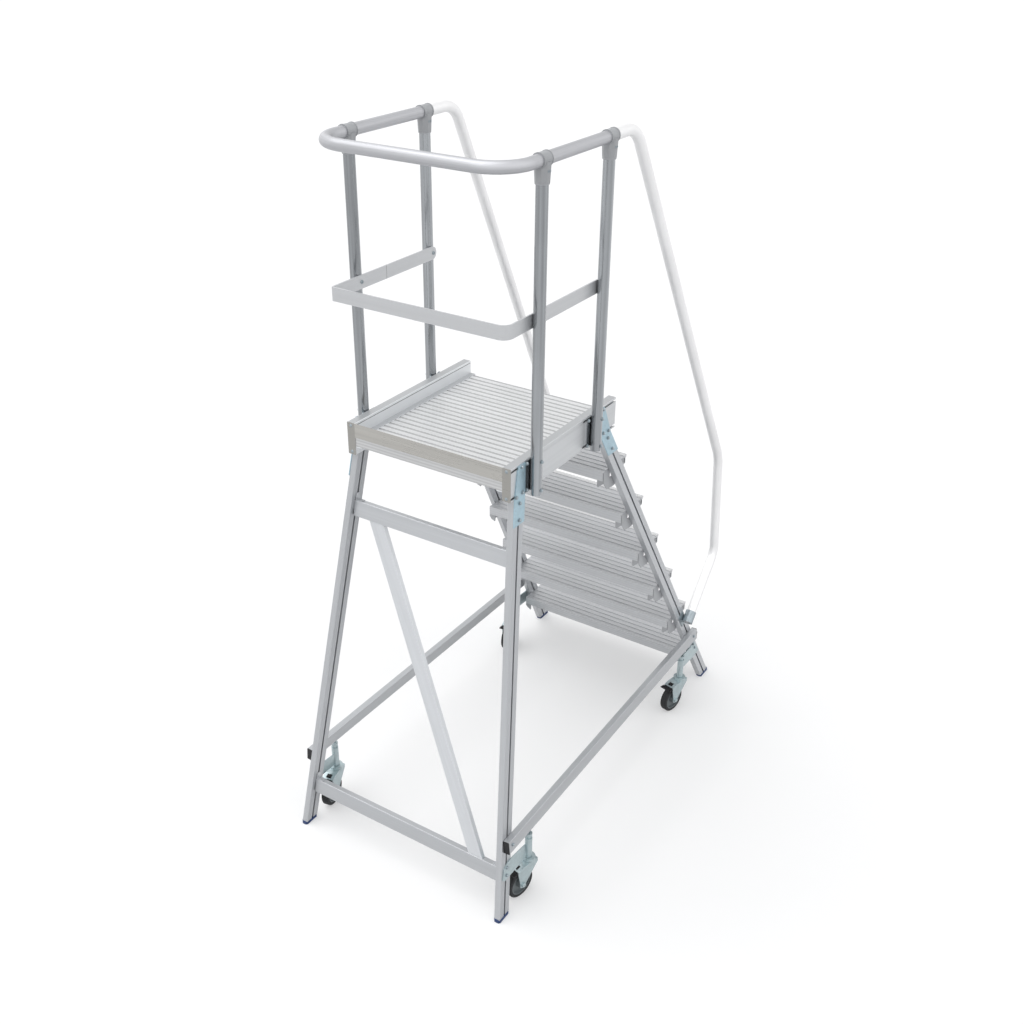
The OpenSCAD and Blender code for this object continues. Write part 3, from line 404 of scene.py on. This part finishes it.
for side, sign in (("left", -1), ("right", 1)):
    stile = f"stile_{side}"
    leg = f"rear_leg_{side}"
    finishes[stile] = extruded_finish(f"{stile}_aluminium", leaning(stile, sign, 1))
    finishes[leg] = extruded_finish(f"{leg}_aluminium", leaning(leg, sign, -1), leg_profile)
print("extruded finishes", len(set(finishes.values())))

# %% [markdown]
# ## Ribbed planks
# The treads and the deck are wide extrusions with broad ribs. A mask that reads the height below the
# rib tops finds the grooves between them, and another finds the backs. On the deck both get painted
# shade, rippled on the backs. On the treads they get painted light instead, so that their painted shade
# is below zero. Metal without painted shade keeps to the paler half of the plank's shades. Each rib's
# top has a fine serration, too small to model one by one, so it is a sine across the plank that only
# the faces that look up feel, through the bump.

# %% Plank finish
DECK = (0.72, 0.725, 0.73)
TREAD = (0.535, 0.545, 0.56)
# Painted shade darkens the deck's grooves and backs; on the treads it is below zero, so it paints
# light.
DECK_PAINTED_SHADE = {"groove_painted_shade": 1.1, "back_painted_shade": 0.7}
TREAD_PAINTED_LIGHT = {"groove_painted_shade": -0.15, "back_painted_shade": -0.45}
PLANK_SHADES = (0.62, 1.14)
PLANK_LINES = (2.0, 420.0, 420.0)
PLANK_BANDS = (1.2, 34.0, 34.0)
PLANK_CLOUDS = (4.0, 9.0, 9.0)
LINE_TONE, BAND_TONE, CLOUD_TONE = 0.25, 0.30, 0.45
UNSHADED_START = 0.5
FLAT = 0.975
GROOVE_FROM, GROOVE_TO = 0.0004, 0.0026
GROOVE_ROUGHNESS = 0.20
PATCH_ROUGHNESS = 0.12
SERRATION_PITCH = 0.0028
SERRATION_BUMP = 0.15
LINE_HEIGHT = 0.3
BACK_PITCH = 0.0115
BACK_RIPPLE = 0.5


def plank_finish(name, colour, top, groove_painted_shade, back_painted_shade, roughness=0.32, metallic=0.45):
    material, graph = new_graph(name)
    point = graph.coordinates()
    _, run, height = graph.axes_of(point)
    up = graph.looks_along("Z", FLAT)
    back = graph.looks_along("Y", FLAT)
    depth = top - height
    groove = (depth > GROOVE_FROM) * (depth < GROOVE_TO) * up
    serration = run.wave(SERRATION_PITCH) * (up - groove)
    lines = graph.noise(graph.stretched(point, PLANK_LINES), detail=1.0)
    bands = graph.noise(graph.stretched(point, PLANK_BANDS))
    clouds = graph.noise(graph.stretched(point, PLANK_CLOUDS), detail=3.0)
    # Painted shade in the grooves and on the backs, rippled by height on the backs; below zero it is
    # painted light.
    ripple = BACK_RIPPLE * back_painted_shade * height.wave(BACK_PITCH)
    plank_painted_shade = groove_painted_shade * groove + back * (back_painted_shade + ripple)
    tone = LINE_TONE * lines + BAND_TONE * bands + CLOUD_TONE * clouds - plank_painted_shade
    graph.finish({
        "Base Color": graph.shades(tone * (1.0 - UNSHADED_START) + UNSHADED_START, colour, PLANK_SHADES),
        "Metallic": metallic,
        "Roughness": roughness + PATCH_ROUGHNESS * clouds + GROOVE_ROUGHNESS * groove,
        "Normal": graph.bump(serration + LINE_HEIGHT * lines, SERRATION_BUMP, BUMP_DEPTH),
    })
    return material


def plank_top(node):
    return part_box(node)[1].z


finishes["deck_planks"] = plank_finish("deck_aluminium", DECK, plank_top("deck_planks"), **DECK_PAINTED_SHADE)
for step in STEPS:
    tread = f"tread_{step}"
    finishes[tread] = plank_finish(f"{tread}_aluminium", TREAD, plank_top(tread), **TREAD_PAINTED_LIGHT)
print("planks", [round(plank_top(f"tread_{step}"), 3) for step in STEPS])

# %% [markdown]
# ## Tubes, castings and plated steel
# The posts and the guard rail are drawn tube, satin and rather dark; the broad bands along the posts
# are partly drawn lines and partly painted reflection. The handrails are paler, with a soft sheen. The
# tee fittings and the tread brackets are cast, so they are dull with a fine grain.
# The gussets, the castors' brackets and their forks are steel with a zinc plating whose crystals show
# as faint pale patches; it is bluer on the gussets than on the castors.

# %% Coat, cast and zinc finishes
NOISE_MIDDLE = 0.5
FINE_BUMP_DEPTH = 0.0003
COAT_CLOUDS = 5.0
COAT_SHADES = (0.93, 1.06)
PEEL_ROUGHNESS = 0.10
CAST_GRAIN, CAST_CLOUDS = 900.0, 24.0
CAST_SHADES = (0.84, 1.12)
GRAIN_TONE = 0.4
GRAIN_ROUGHNESS = 0.16
GRAIN_BUMP = 0.35
ZINC_CRYSTALS, ZINC_CLOUDS = 130.0, 30.0
ZINC_SHADES = (0.80, 1.18)
CRYSTAL_TONE = 0.35
CRYSTAL_ROUGHNESS = 0.14
ZINC_BUMP = 0.08


def coated_finish(name, colour, roughness, grain, metallic=0.0, gloss=0.5, peel_bump=0.10):
    material, graph = new_graph(name)
    point = graph.coordinates()
    peel = graph.noise(point, scale=grain)
    clouds = graph.noise(point, scale=COAT_CLOUDS)
    graph.finish({
        "Base Color": graph.shades(clouds, colour, COAT_SHADES),
        "Metallic": metallic,
        "Specular IOR Level": gloss,
        "Roughness": roughness + PEEL_ROUGHNESS * (peel - NOISE_MIDDLE),
        "Normal": graph.bump(peel, peel_bump, FINE_BUMP_DEPTH),
    })
    return material


def cast_finish(name, colour, roughness=0.42, metallic=0.3):
    material, graph = new_graph(name)
    point = graph.coordinates()
    grain = graph.noise(point, scale=CAST_GRAIN, detail=3.0)
    clouds = graph.noise(point, scale=CAST_CLOUDS, detail=3.0)
    tone = (1.0 - GRAIN_TONE) * clouds + GRAIN_TONE * grain
    graph.finish({
        "Base Color": graph.shades(tone, colour, CAST_SHADES),
        "Metallic": metallic,
        "Roughness": roughness + GRAIN_ROUGHNESS * grain,
        "Normal": graph.bump(grain, GRAIN_BUMP, BUMP_DEPTH),
    })
    return material


def zinc_finish(name, colour, roughness=0.28, metallic=0.6):
    material, graph = new_graph(name)
    point = graph.coordinates()
    sockets = {"Vector": point, "Scale": ZINC_CRYSTALS}
    crystals = graph.add("ShaderNodeTexVoronoi", None, sockets, output="Color")
    crystal = graph.add("ShaderNodeSeparateColor", None, {0: crystals})
    clouds = graph.noise(point, scale=ZINC_CLOUDS, detail=3.0)
    tone = CRYSTAL_TONE * crystal + (1.0 - CRYSTAL_TONE) * clouds
    graph.finish({
        "Base Color": graph.shades(tone, colour, ZINC_SHADES),
        "Metallic": metallic,
        "Roughness": roughness + CRYSTAL_ROUGHNESS * crystal,
        "Normal": graph.bump(clouds, ZINC_BUMP, FINE_BUMP_DEPTH),
    })
    return material


# %% Finishes of the guard, the sheet and the plates
POST = (0.33, 0.345, 0.36)
GUARD = (0.455, 0.46, 0.48)
HANDRAIL = (0.78, 0.78, 0.785)
STRIP = (0.46, 0.45, 0.425)
KNEE = (0.58, 0.59, 0.605)
TEE = (0.40, 0.41, 0.425)
TREAD_BRACKET = (0.46, 0.47, 0.485)
BLUE_ZINC = (0.40, 0.545, 0.62)
PALE_ZINC = (0.46, 0.545, 0.565)
NUT_ZINC = (0.34, 0.39, 0.42)
LEFT_RUN = 0.3
SEAM_AT = 0.412
SEAM_HALF = 0.0008
TAB_WIDTH = 0.033
TAB_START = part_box("rear_toe_strip")[1].x - TAB_WIDTH
# The toe strip's end tabs get painted shade.
TAB_PAINTED_SHADE = 0.78


def knee_seam(graph, point):
    """Line where the two bars of the knee rail meet, on its left run."""
    across, run, _ = graph.axes_of(point)
    seam = (across > LEFT_RUN) * (run > SEAM_AT - SEAM_HALF) * (run < SEAM_AT + SEAM_HALF)
    return [(seam, SEAM_AND_GROOVE_SHADOW)]


def strip_tabs(graph, point):
    """The end tabs of the toe strip, which carry painted shade."""
    across = graph.axes_of(point)[0]
    return [((across > TAB_START).highest(across < -TAB_START), TAB_PAINTED_SHADE)]


# The posts' strong broad bands are partly drawn lines and partly painted reflection.
post_metal = extruded_finish(
    "post_tube", UPRIGHT, POST, roughness=0.20, metallic=0.9, contrast=0.75, fine=0.05
)
guard_metal = extruded_finish("guard_tube", None, GUARD, roughness=0.50, metallic=0.8, contrast=0.35)
rail_metal = coated_finish(
    "handrail_tube", HANDRAIL, roughness=0.58, grain=900.0, metallic=1.0, peel_bump=0.015
)
strip_sheet = extruded_finish(
    "toe_strip_sheet", ACROSS, STRIP, roughness=0.30, metallic=0.6, contrast=0.32, marks=strip_tabs
)
knee_metal = extruded_finish(
    "knee_rail_aluminium", None, KNEE, roughness=0.34, metallic=0.5, contrast=0.10, marks=knee_seam
)
cast_metal = cast_finish("cast_fitting", TEE)
bracket_metal = cast_finish("tread_bracket_metal", TREAD_BRACKET)
blue_zinc = zinc_finish("blue_zinc_plate", BLUE_ZINC)
pale_zinc = zinc_finish("pale_zinc_plate", PALE_ZINC)
nut_zinc = zinc_finish("nut_zinc_plate", NUT_ZINC)
finishes |= {f"post_{corner}": post_metal for corner in CORNERS}
finishes |= {f"stem_{corner}": pale_zinc for corner in CORNERS}
finishes |= {f"fork_{corner}": pale_zinc for corner in CORNERS}
finishes |= {
    "guard_rail": guard_metal,
    "handrail_left": rail_metal,
    "handrail_right": rail_metal,
    "rear_toe_strip": strip_sheet,
    "knee_rail": knee_metal,
    "tee_fittings": cast_metal,
    "tread_brackets": bracket_metal,
    "handrail_clamps": nut_zinc,
    "rear_gussets": blue_zinc,
    "front_gussets": blue_zinc,
    "frame_bolts": blue_zinc,
    "castor_brackets": pale_zinc,
}
print("finishes so far", len(finishes))

# %% [markdown]
# ## Plastic and rubber
# The end caps and brake pedals are moulded black plastic, the hubs are a grey one, and the tyres and
# feet are rubber. They are all dull, and differ in grain and in gloss.

# %% Moulded finishes
BLACK = (0.014, 0.014, 0.016)
HUB_GREY = (0.150, 0.170, 0.178)
TYRE_BLACK = (0.024, 0.025, 0.027)
FOOT_NAVY = (0.012, 0.040, 0.140)

cap_plastic = coated_finish("black_plastic", BLACK, roughness=0.45, grain=900.0, gloss=0.25)
hub_plastic = coated_finish("hub_plastic", HUB_GREY, roughness=0.45, grain=500.0)
tyre_rubber = coated_finish("tyre_rubber", TYRE_BLACK, roughness=0.62, grain=600.0, gloss=0.3)
foot_rubber = coated_finish("foot_rubber", FOOT_NAVY, roughness=0.50, grain=600.0)
finishes |= {f"hub_{corner}": hub_plastic for corner in CORNERS}
finishes |= {f"tyre_{corner}": tyre_rubber for corner in CORNERS}
finishes |= {f"pedal_{corner}": cap_plastic for corner in CORNERS}
finishes |= {"base_rail_caps": cap_plastic, "rubber_feet": foot_rubber}

for name, piece in nodes.items():
    piece.data.materials.clear()
    piece.data.materials.append(finishes[name])
print("finished nodes", len(nodes))

# %% [markdown]
# ## Fasteners by Geometry Nodes
# The frame is held by cap nuts on washers, blind rivets and small screws. They repeat, so each kind
# is one node tree that lathes a head out of rings and puts it on points. The points carry the way
# that the head looks. The result is made a plain mesh, because the points and the tree aren't
# needed after that.

# %% Helpers for node trees
WELD = 1e-6
AS_BUILT = (0.0, 0.0, 0.0)


def new_tree(name, sizes):
    group = bpy.data.node_groups.new(name, "GeometryNodeTree")
    group.interface.new_socket("Points", in_out="INPUT", socket_type="NodeSocketGeometry")
    for label, size in sizes.items():
        socket = group.interface.new_socket(label, in_out="INPUT", socket_type="NodeSocketFloat")
        socket.default_value = size
    group.interface.new_socket("Geometry", in_out="OUTPUT", socket_type="NodeSocketGeometry")
    graph = Graph(group)
    start = group.nodes.new("NodeGroupInput")
    inputs = {socket.name: Value(graph, socket) for socket in start.outputs if socket.name}
    return group, graph, inputs


def end_tree(graph, geometry, material):
    real = graph.add("GeometryNodeRealizeInstances", None, {"Geometry": geometry})
    dressed = graph.add("GeometryNodeSetMaterial", None, {"Geometry": real, "Material": material})
    graph.add("NodeGroupOutput", None, {0: dressed})


def placed(graph, geometry, place=None, turn=AS_BUILT):
    spot = graph.add("ShaderNodeCombineXYZ", None, place)
    sockets = {"Geometry": geometry, "Translation": spot, "Rotation": turn}
    return graph.add("GeometryNodeTransform", None, sockets)


def joined(graph, pieces):
    node = graph.tree.nodes.new("GeometryNodeJoinGeometry")
    for piece in pieces:
        graph.tree.links.new(piece.socket, node.inputs[0])
    return Value(graph, node.outputs[0])


def lathe(graph, sides, rings):
    """Closed shell round Z: bands between rings of a radius and a height, welded where they meet."""
    bands = []
    for (low_radius, low), (high_radius, high) in zip(rings, rings[1:]):
        sockets = {"Vertices": sides, "Radius Bottom": low_radius, "Radius Top": high_radius}
        sockets["Depth"] = high - low
        cone = graph.add("GeometryNodeMeshCone", {"fill_type": "NONE"}, sockets, output="Mesh")
        bands.append(placed(graph, cone, {"Z": low}))
    sockets = {"Geometry": joined(graph, bands), "Distance": WELD}
    return graph.add("GeometryNodeMergeByDistance", None, sockets)


def drum(graph, sides, low_radius, high_radius, low, height):
    high = low + height
    return lathe(graph, sides, [(0.0, low), (low_radius, low), (high_radius, high), (0.0, high)])


def on_points(graph, points, head):
    axis = graph.add("GeometryNodeInputNamedAttribute", {"data_type": "FLOAT_VECTOR"}, {"Name": "axis"})
    stretch = graph.add("GeometryNodeInputNamedAttribute", {"data_type": "FLOAT"}, {"Name": "stretch"})
    turn = graph.add("FunctionNodeAlignRotationToVector", {"axis": "Z"}, {"Vector": axis})
    scale = graph.add("ShaderNodeCombineXYZ", None, {"X": 1.0, "Y": 1.0, "Z": stretch})
    sockets = {"Points": points, "Instance": head, "Rotation": turn, "Scale": scale}
    return graph.add("GeometryNodeInstanceOnPoints", None, sockets)


def grown(name, tree, spots, body, stretches=None):
    """Plain mesh of a tree's shape at each spot, which is a place and the way that its Z axis looks."""
    points = bpy.data.meshes.new(f"{name}_points")
    points.from_pydata([spot for spot, _ in spots], [], [])
    axis = points.attributes.new("axis", "FLOAT_VECTOR", "POINT")
    axis.data.foreach_set("vector", [v for _, way in spots for v in way])
    stretch = points.attributes.new("stretch", "FLOAT", "POINT")
    stretch.data.foreach_set("value", stretches or [1.0] * len(spots))
    carrier = bpy.data.objects.new(f"{name}_points", points)
    bpy.context.scene.collection.objects.link(carrier)
    modifier = carrier.modifiers.new(name, "NODES")
    modifier.node_group = tree
    evaluated = bpy.context.evaluated_depsgraph_get()
    mesh = bpy.data.meshes.new_from_object(carrier.evaluated_get(evaluated), depsgraph=evaluated)
    bpy.data.objects.remove(carrier)
    mesh.name = name
    piece = bpy.data.objects.new(name, mesh)
    bpy.context.scene.collection.objects.link(piece)
    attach(piece, body)
    print(name, len(spots), "copies", len(mesh.polygons), "faces")
    return piece


# %% [markdown]
# ### Cap nuts
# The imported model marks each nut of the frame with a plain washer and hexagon. The corners of such a
# solid that lie furthest in tell about where its nut sits and which way it looks, and a cap nut with
# a domed top replaces it.

# %% Cap nuts
NUT_SIZES = {
    "Washer radius": 0.0070,
    "Washer height": 0.0014,
    "Nut radius": 0.0058,
    "Nut height": 0.0032,
}
NUT_SUNK = 0.5
NUT_CHAMFER = 0.0006
NUT_TOP_SHARE = 0.7
DOME_SHARE = 0.80
DOME_HEIGHT = 0.0026
DOME_RINGS = ((1.0, 0.0), (0.94, 0.35), (0.74, 0.70), (0.42, 0.93))
HEXAGON = 6
ROUND = 24
DOME_SIDES = 16
SAME_PLACE = 1e-5
SEAT_CORNERS = 24


def dome(graph, sides, radius, low, height):
    rings = [(radius * share, low + start * height) for share, start in DOME_RINGS]
    return lathe(graph, sides, [(0.0, low), *rings, (0.0, low + height)])


def cap_nut_tree(material):
    group, graph, size = new_tree("cap_nut", NUT_SIZES)
    washer_radius, washer_height = size["Washer radius"], size["Washer height"]
    radius = size["Nut radius"]
    low = washer_height * NUT_SUNK
    shoulder = washer_height + size["Nut height"]
    top = shoulder + NUT_CHAMFER
    top_radius = radius * NUT_TOP_SHARE
    rings = [(0.0, low), (radius, low), (radius, shoulder), (top_radius, top), (0.0, top)]
    parts = [
        drum(graph, ROUND, washer_radius, washer_radius, 0.0, washer_height),
        lathe(graph, HEXAGON, rings),
        dome(graph, DOME_SIDES, radius * DOME_SHARE, shoulder, DOME_HEIGHT),
    ]
    end_tree(graph, on_points(graph, size["Points"], joined(graph, parts)), material)
    return group


def solids_of(node):
    """Corners of each separate solid in a node's mesh."""
    work = bmesh.new()
    work.from_mesh(nodes[node].data)
    bmesh.ops.remove_doubles(work, verts=work.verts, dist=SAME_PLACE)
    left = dict.fromkeys(work.verts)
    solids = []
    while left:
        last, _ = left.popitem()
        reached = [last]
        for vertex in reached:
            for edge in vertex.link_edges:
                other = edge.other_vert(vertex)
                if other in left:
                    del left[other]
                    reached.append(other)
        solids.append([vertex.co.copy() for vertex in reached])
    work.free()
    return solids


def washer_seat(points):
    """Middle of the corners that lie furthest in on a nut's washer, and their outward normal."""
    middle = sum(points, Vector()) / len(points)
    outward = Vector((math.copysign(1.0, middle.x), 0.0, 0.0))
    inner = sorted(points, key=lambda point: point.dot(outward))[:SEAT_CORNERS]
    seat = sum(inner, Vector()) / len(inner)
    spread = Vector()
    for first, second in zip(inner, inner[1:]):
        turn = (first - seat).cross(second - seat)
        spread += turn if turn.dot(outward) > 0 else -turn
    return seat, spread.normalized()


nut_spots = [washer_seat(points) for points in solids_of("frame_bolts")]
nuts = grown("cap_nuts", cap_nut_tree(nut_zinc), nut_spots, "frame")
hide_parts("frame_bolts")

# %% [markdown]
# ### Rivets and screws
# Blind rivets hold the toe strip by its end tabs, and socket screws hold the posts in the tees and the
# knee rail to the posts. A rivet is a low dome with the end of its pin on top. A screw is a short
# drum with a chamfer, out of which a boolean cuts a hexagonal recess. The recess is turned a little,
# so that its corners keep clear of the edges of the drum's top.

# %% Rivet and screw trees
RIVET_SIZES = {"Head radius": 0.0062, "Head height": 0.0024, "Pin radius": 0.0020}
PIN_SIDES = 10
PIN_START = 0.9
PIN_RISE = 0.5
TEE_SCREW = {
    "Head radius": 0.0040,
    "Head height": 0.0014,
    "Socket radius": 0.0022,
    "Socket depth": 0.0010,
}
KNEE_SCREW = {
    "Head radius": 0.0070,
    "Head height": 0.0026,
    "Socket radius": 0.0032,
    "Socket depth": 0.0020,
}
SCREW_SHOULDER = 0.75
SCREW_TOP_SHARE = 0.9
RECESS_RISE = 2.0
RECESS_TURN = (0.0, 0.0, math.pi / ROUND)


def rivet_tree(material):
    group, graph, size = new_tree("blind_rivet", RIVET_SIZES)
    radius, height, pin = size["Head radius"], size["Head height"], size["Pin radius"]
    parts = [
        dome(graph, DOME_SIDES, radius, 0.0, height),
        dome(graph, PIN_SIDES, pin, height * PIN_START, pin * PIN_RISE),
    ]
    end_tree(graph, on_points(graph, size["Points"], joined(graph, parts)), material)
    return group


def screw_tree(name, sizes, material):
    group, graph, size = new_tree(name, sizes)
    radius, top = size["Head radius"], size["Head height"]
    socket, depth = size["Socket radius"], size["Socket depth"]
    shoulder = top * SCREW_SHOULDER
    top_radius = radius * SCREW_TOP_SHARE
    rings = [(0.0, 0.0), (radius, 0.0), (radius, shoulder), (top_radius, top), (0.0, top)]
    hexagon = drum(graph, HEXAGON, socket, socket, top - depth, depth * RECESS_RISE)
    solids = {"Mesh 1": lathe(graph, ROUND, rings), "Mesh 2": placed(graph, hexagon, turn=RECESS_TURN)}
    settings = {"operation": "DIFFERENCE", "solver": "EXACT"}
    head = graph.add("GeometryNodeMeshBoolean", settings, solids, output="Mesh")
    end_tree(graph, on_points(graph, size["Points"], head), material)
    return group


# %% Rivets of the toe strip
RIVET_FROM_END = 0.0165
RIVET_FROM_EDGE = 0.011

strip_low, strip_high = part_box("rear_toe_strip")
rivet_spots = []
for sign in (-1, 1):
    for level in (strip_low.z + RIVET_FROM_EDGE, strip_high.z - RIVET_FROM_EDGE):
        place = (sign * (strip_high.x - RIVET_FROM_END), strip_high.y, level)
        rivet_spots.append((place, ALONG))
grown("strip_rivets", rivet_tree(nut_zinc), rivet_spots, "frame")

# %% [markdown]
# ### Tee fittings
# A tee is a cast saddle round the guard rail with a skirt that tapers down over the post. The packed
# model has a plain, thick one; the casting here has rims, a slimmer wall and eight flats, which catch
# the light one by one. The saddle's drum stands upright at first, so it is turned to lie along Y.

# %% Tee fittings
TEE_SIZES = {
    "Saddle radius": 0.0230,
    "Saddle length": 0.049,
    "Skirt top": 0.0268,
    "Skirt foot": 0.0236,
}
TEE_ABOVE_AXIS = 0.027
SADDLE_SIDES = 28
SKIRT_SIDES = 8
SKIRT_TOP, SKIRT_FOOT = -0.004, -0.066
RIM = 0.004
RIM_SHARE = 1.06
COLLAR_SHARE = 0.97
COLLAR_HEIGHT = RIM * 1.5
LIE_DOWN = (-math.pi / 2, 0.0, 0.0)
HALF_FLAT = (0.0, 0.0, math.pi / SKIRT_SIDES)


def tee_tree(material):
    group, graph, size = new_tree("tee_fitting", TEE_SIZES)
    radius, length = size["Saddle radius"], size["Saddle length"]
    top, foot = size["Skirt top"], size["Skirt foot"]
    start = length * -0.5
    rim_radius = radius * RIM_SHARE
    collar_radius = foot * COLLAR_SHARE
    saddle = drum(graph, SADDLE_SIDES, radius, radius, RIM / 2, length - RIM)
    rim = drum(graph, SADDLE_SIDES, rim_radius, rim_radius, 0.0, RIM)
    skirt = drum(graph, SKIRT_SIDES, foot, top, SKIRT_FOOT, SKIRT_TOP - SKIRT_FOOT)
    parts = [
        placed(graph, saddle, {"Y": start}, LIE_DOWN),
        placed(graph, rim, {"Y": start}, LIE_DOWN),
        placed(graph, rim, {"Y": start + length - RIM}, LIE_DOWN),
        placed(graph, skirt, turn=HALF_FLAT),
        drum(graph, ROUND, collar_radius, collar_radius, SKIRT_FOOT - RIM, COLLAR_HEIGHT),
    ]
    end_tree(graph, on_points(graph, size["Points"], joined(graph, parts)), material)
    return group


def middle_of(points, axis):
    return (max(point[axis] for point in points) + min(point[axis] for point in points)) / 2


tee_middles = []
for points in solids_of("tee_fittings"):
    axis_height = max(point.z for point in points) - TEE_ABOVE_AXIS
    tee_middles.append(Vector((middle_of(points, 0), middle_of(points, 1), axis_height)))
tee_spots = [(tuple(middle), UPRIGHT) for middle in tee_middles]
tees = grown("tee_castings", tee_tree(cast_metal), tee_spots, "frame")
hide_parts("tee_fittings")

# %% Screws of the tees and the knee rail
TEE_SCREW_PLACE = Vector((0.0234, 0.0052, -0.031))
KNEE_BAR = 0.005

screw_spots = []
for middle in tee_middles:
    for across in (-1, 1):
        for along in (-1, 1):
            place = middle + TEE_SCREW_PLACE * Vector((across, along, 1))
            screw_spots.append((tuple(place), (across, 0, 0)))
grown("tee_screws", screw_tree("tee_screw", TEE_SCREW, nut_zinc), screw_spots, "frame")

knee_low, knee_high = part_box("knee_rail")
knee_level = (knee_low.z + knee_high.z) / 2
knee_spots = []
for corner in CORNERS:
    post_low, post_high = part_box(f"post_{corner}")
    sign = math.copysign(1.0, post_low.x)
    place = (sign * (knee_high.x - KNEE_BAR), (post_low.y + post_high.y) / 2, knee_level)
    knee_spots.append((place, (-sign, 0, 0)))
grown("knee_screws", screw_tree("knee_screw", KNEE_SCREW, nut_zinc), knee_spots, "frame")

# %% [markdown]
# ### Nosings and grip ribs
# Each tread ends in a slim nosing that gives a shoe some hold: a flat lip, a round front and two ribs
# on top. Each brake pedal has a few ribs across its wing. They all run straight, so one bar of unit
# length serves each kind: the points carry how far to stretch it. Turning the bar's Z axis to the
# object's X axis leaves its Y axis in place and points its X axis down.

# %% Nosings of the treads
NOSING_SIZES = {
    "Front radius": 0.008,
    "Reach": 0.014,
    "Lip depth": 0.010,
    "Lip end": 0.014,
    "Rib radius": 0.0013,
}
NOSING_SHADE = 0.92
NOSING_RIBS = (-0.005, 0.005)
NOSING_RISE = 0.0006
NOSING_END = 0.002
FRONT_SIDES = 20
RIB_SIDES = 8
ROD_GAP = 0.001


def rod(graph, sides, radius):
    """Upright bar, a little short of one unit long."""
    return drum(graph, sides, radius, radius, ROD_GAP, 1.0 - 2 * ROD_GAP)


def nosing_tree(material):
    group, graph, size = new_tree("nosing", NOSING_SIZES)
    radius, reach, rib = size["Front radius"], size["Reach"], size["Rib radius"]
    depth, end = size["Lip depth"], size["Lip end"]
    front = radius - reach
    block = graph.add("ShaderNodeCombineXYZ", None, {"X": depth, "Y": end - front, "Z": 1.0})
    lip = graph.add("GeometryNodeMeshCube", None, {"Size": block}, output="Mesh")
    parts = [
        placed(graph, lip, {"X": depth * 0.5, "Y": (end + front) * 0.5, "Z": 0.5}),
        placed(graph, rod(graph, FRONT_SIDES, radius), {"X": radius, "Y": front}),
    ]
    parts += [placed(graph, rod(graph, RIB_SIDES, rib), {"Y": back}) for back in NOSING_RIBS]
    end_tree(graph, on_points(graph, size["Points"], joined(graph, parts)), material)
    return group


nosing_metal = extruded_finish("nosing_aluminium", ACROSS, shade(DECK, NOSING_SHADE))
nosing_spots = []
nosing_lengths = []
for step in STEPS:
    low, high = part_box(f"tread_{step}")
    nosing_spots.append(((low.x + NOSING_END, low.y, high.z + NOSING_RISE), ACROSS))
    nosing_lengths.append(high.x - low.x - 2 * NOSING_END)
grown("nosings", nosing_tree(nosing_metal), nosing_spots, "frame", nosing_lengths)

# %% Ribs of the brake pedals
PEDAL_RIB = {"Rib radius": 0.0013}
PEDAL_RIB_SIDES = 10
PEDAL_RIB_LENGTH = 0.044
PEDAL_RIBS = 4
PEDAL_RIB_START, PEDAL_RIB_PITCH = 0.0460, 0.0045
PEDAL_WING_START, PEDAL_WING_LOW, PEDAL_WING_SLOPE = 0.041, -0.0003, 0.122


def rib_tree(material):
    group, graph, size = new_tree("pedal_rib", PEDAL_RIB)
    bar = rod(graph, PEDAL_RIB_SIDES, size["Rib radius"])
    end_tree(graph, on_points(graph, size["Points"], bar), material)
    return group


pins = {joint["name"]: joint for joint in frame["joints"]}
pedal_ribs = rib_tree(cap_plastic)
for corner in CORNERS:
    pin = pins[f"brake_{corner}"]
    across = Vector(pin["axis"])
    outward = across.cross(Vector(UPRIGHT))
    spots = []
    for rib in range(PEDAL_RIBS):
        run = PEDAL_RIB_START + rib * PEDAL_RIB_PITCH
        rise = PEDAL_WING_LOW + PEDAL_WING_SLOPE * (run - PEDAL_WING_START)
        middle = Vector(pin["pos_m"]) + outward * run + Vector((0.0, 0.0, rise))
        spots.append((tuple(middle - across * (PEDAL_RIB_LENGTH / 2)), tuple(across)))
    lengths = [PEDAL_RIB_LENGTH] * len(spots)
    grown(f"pedal_ribs_{corner}", pedal_ribs, spots, f"brake_{corner}", lengths)
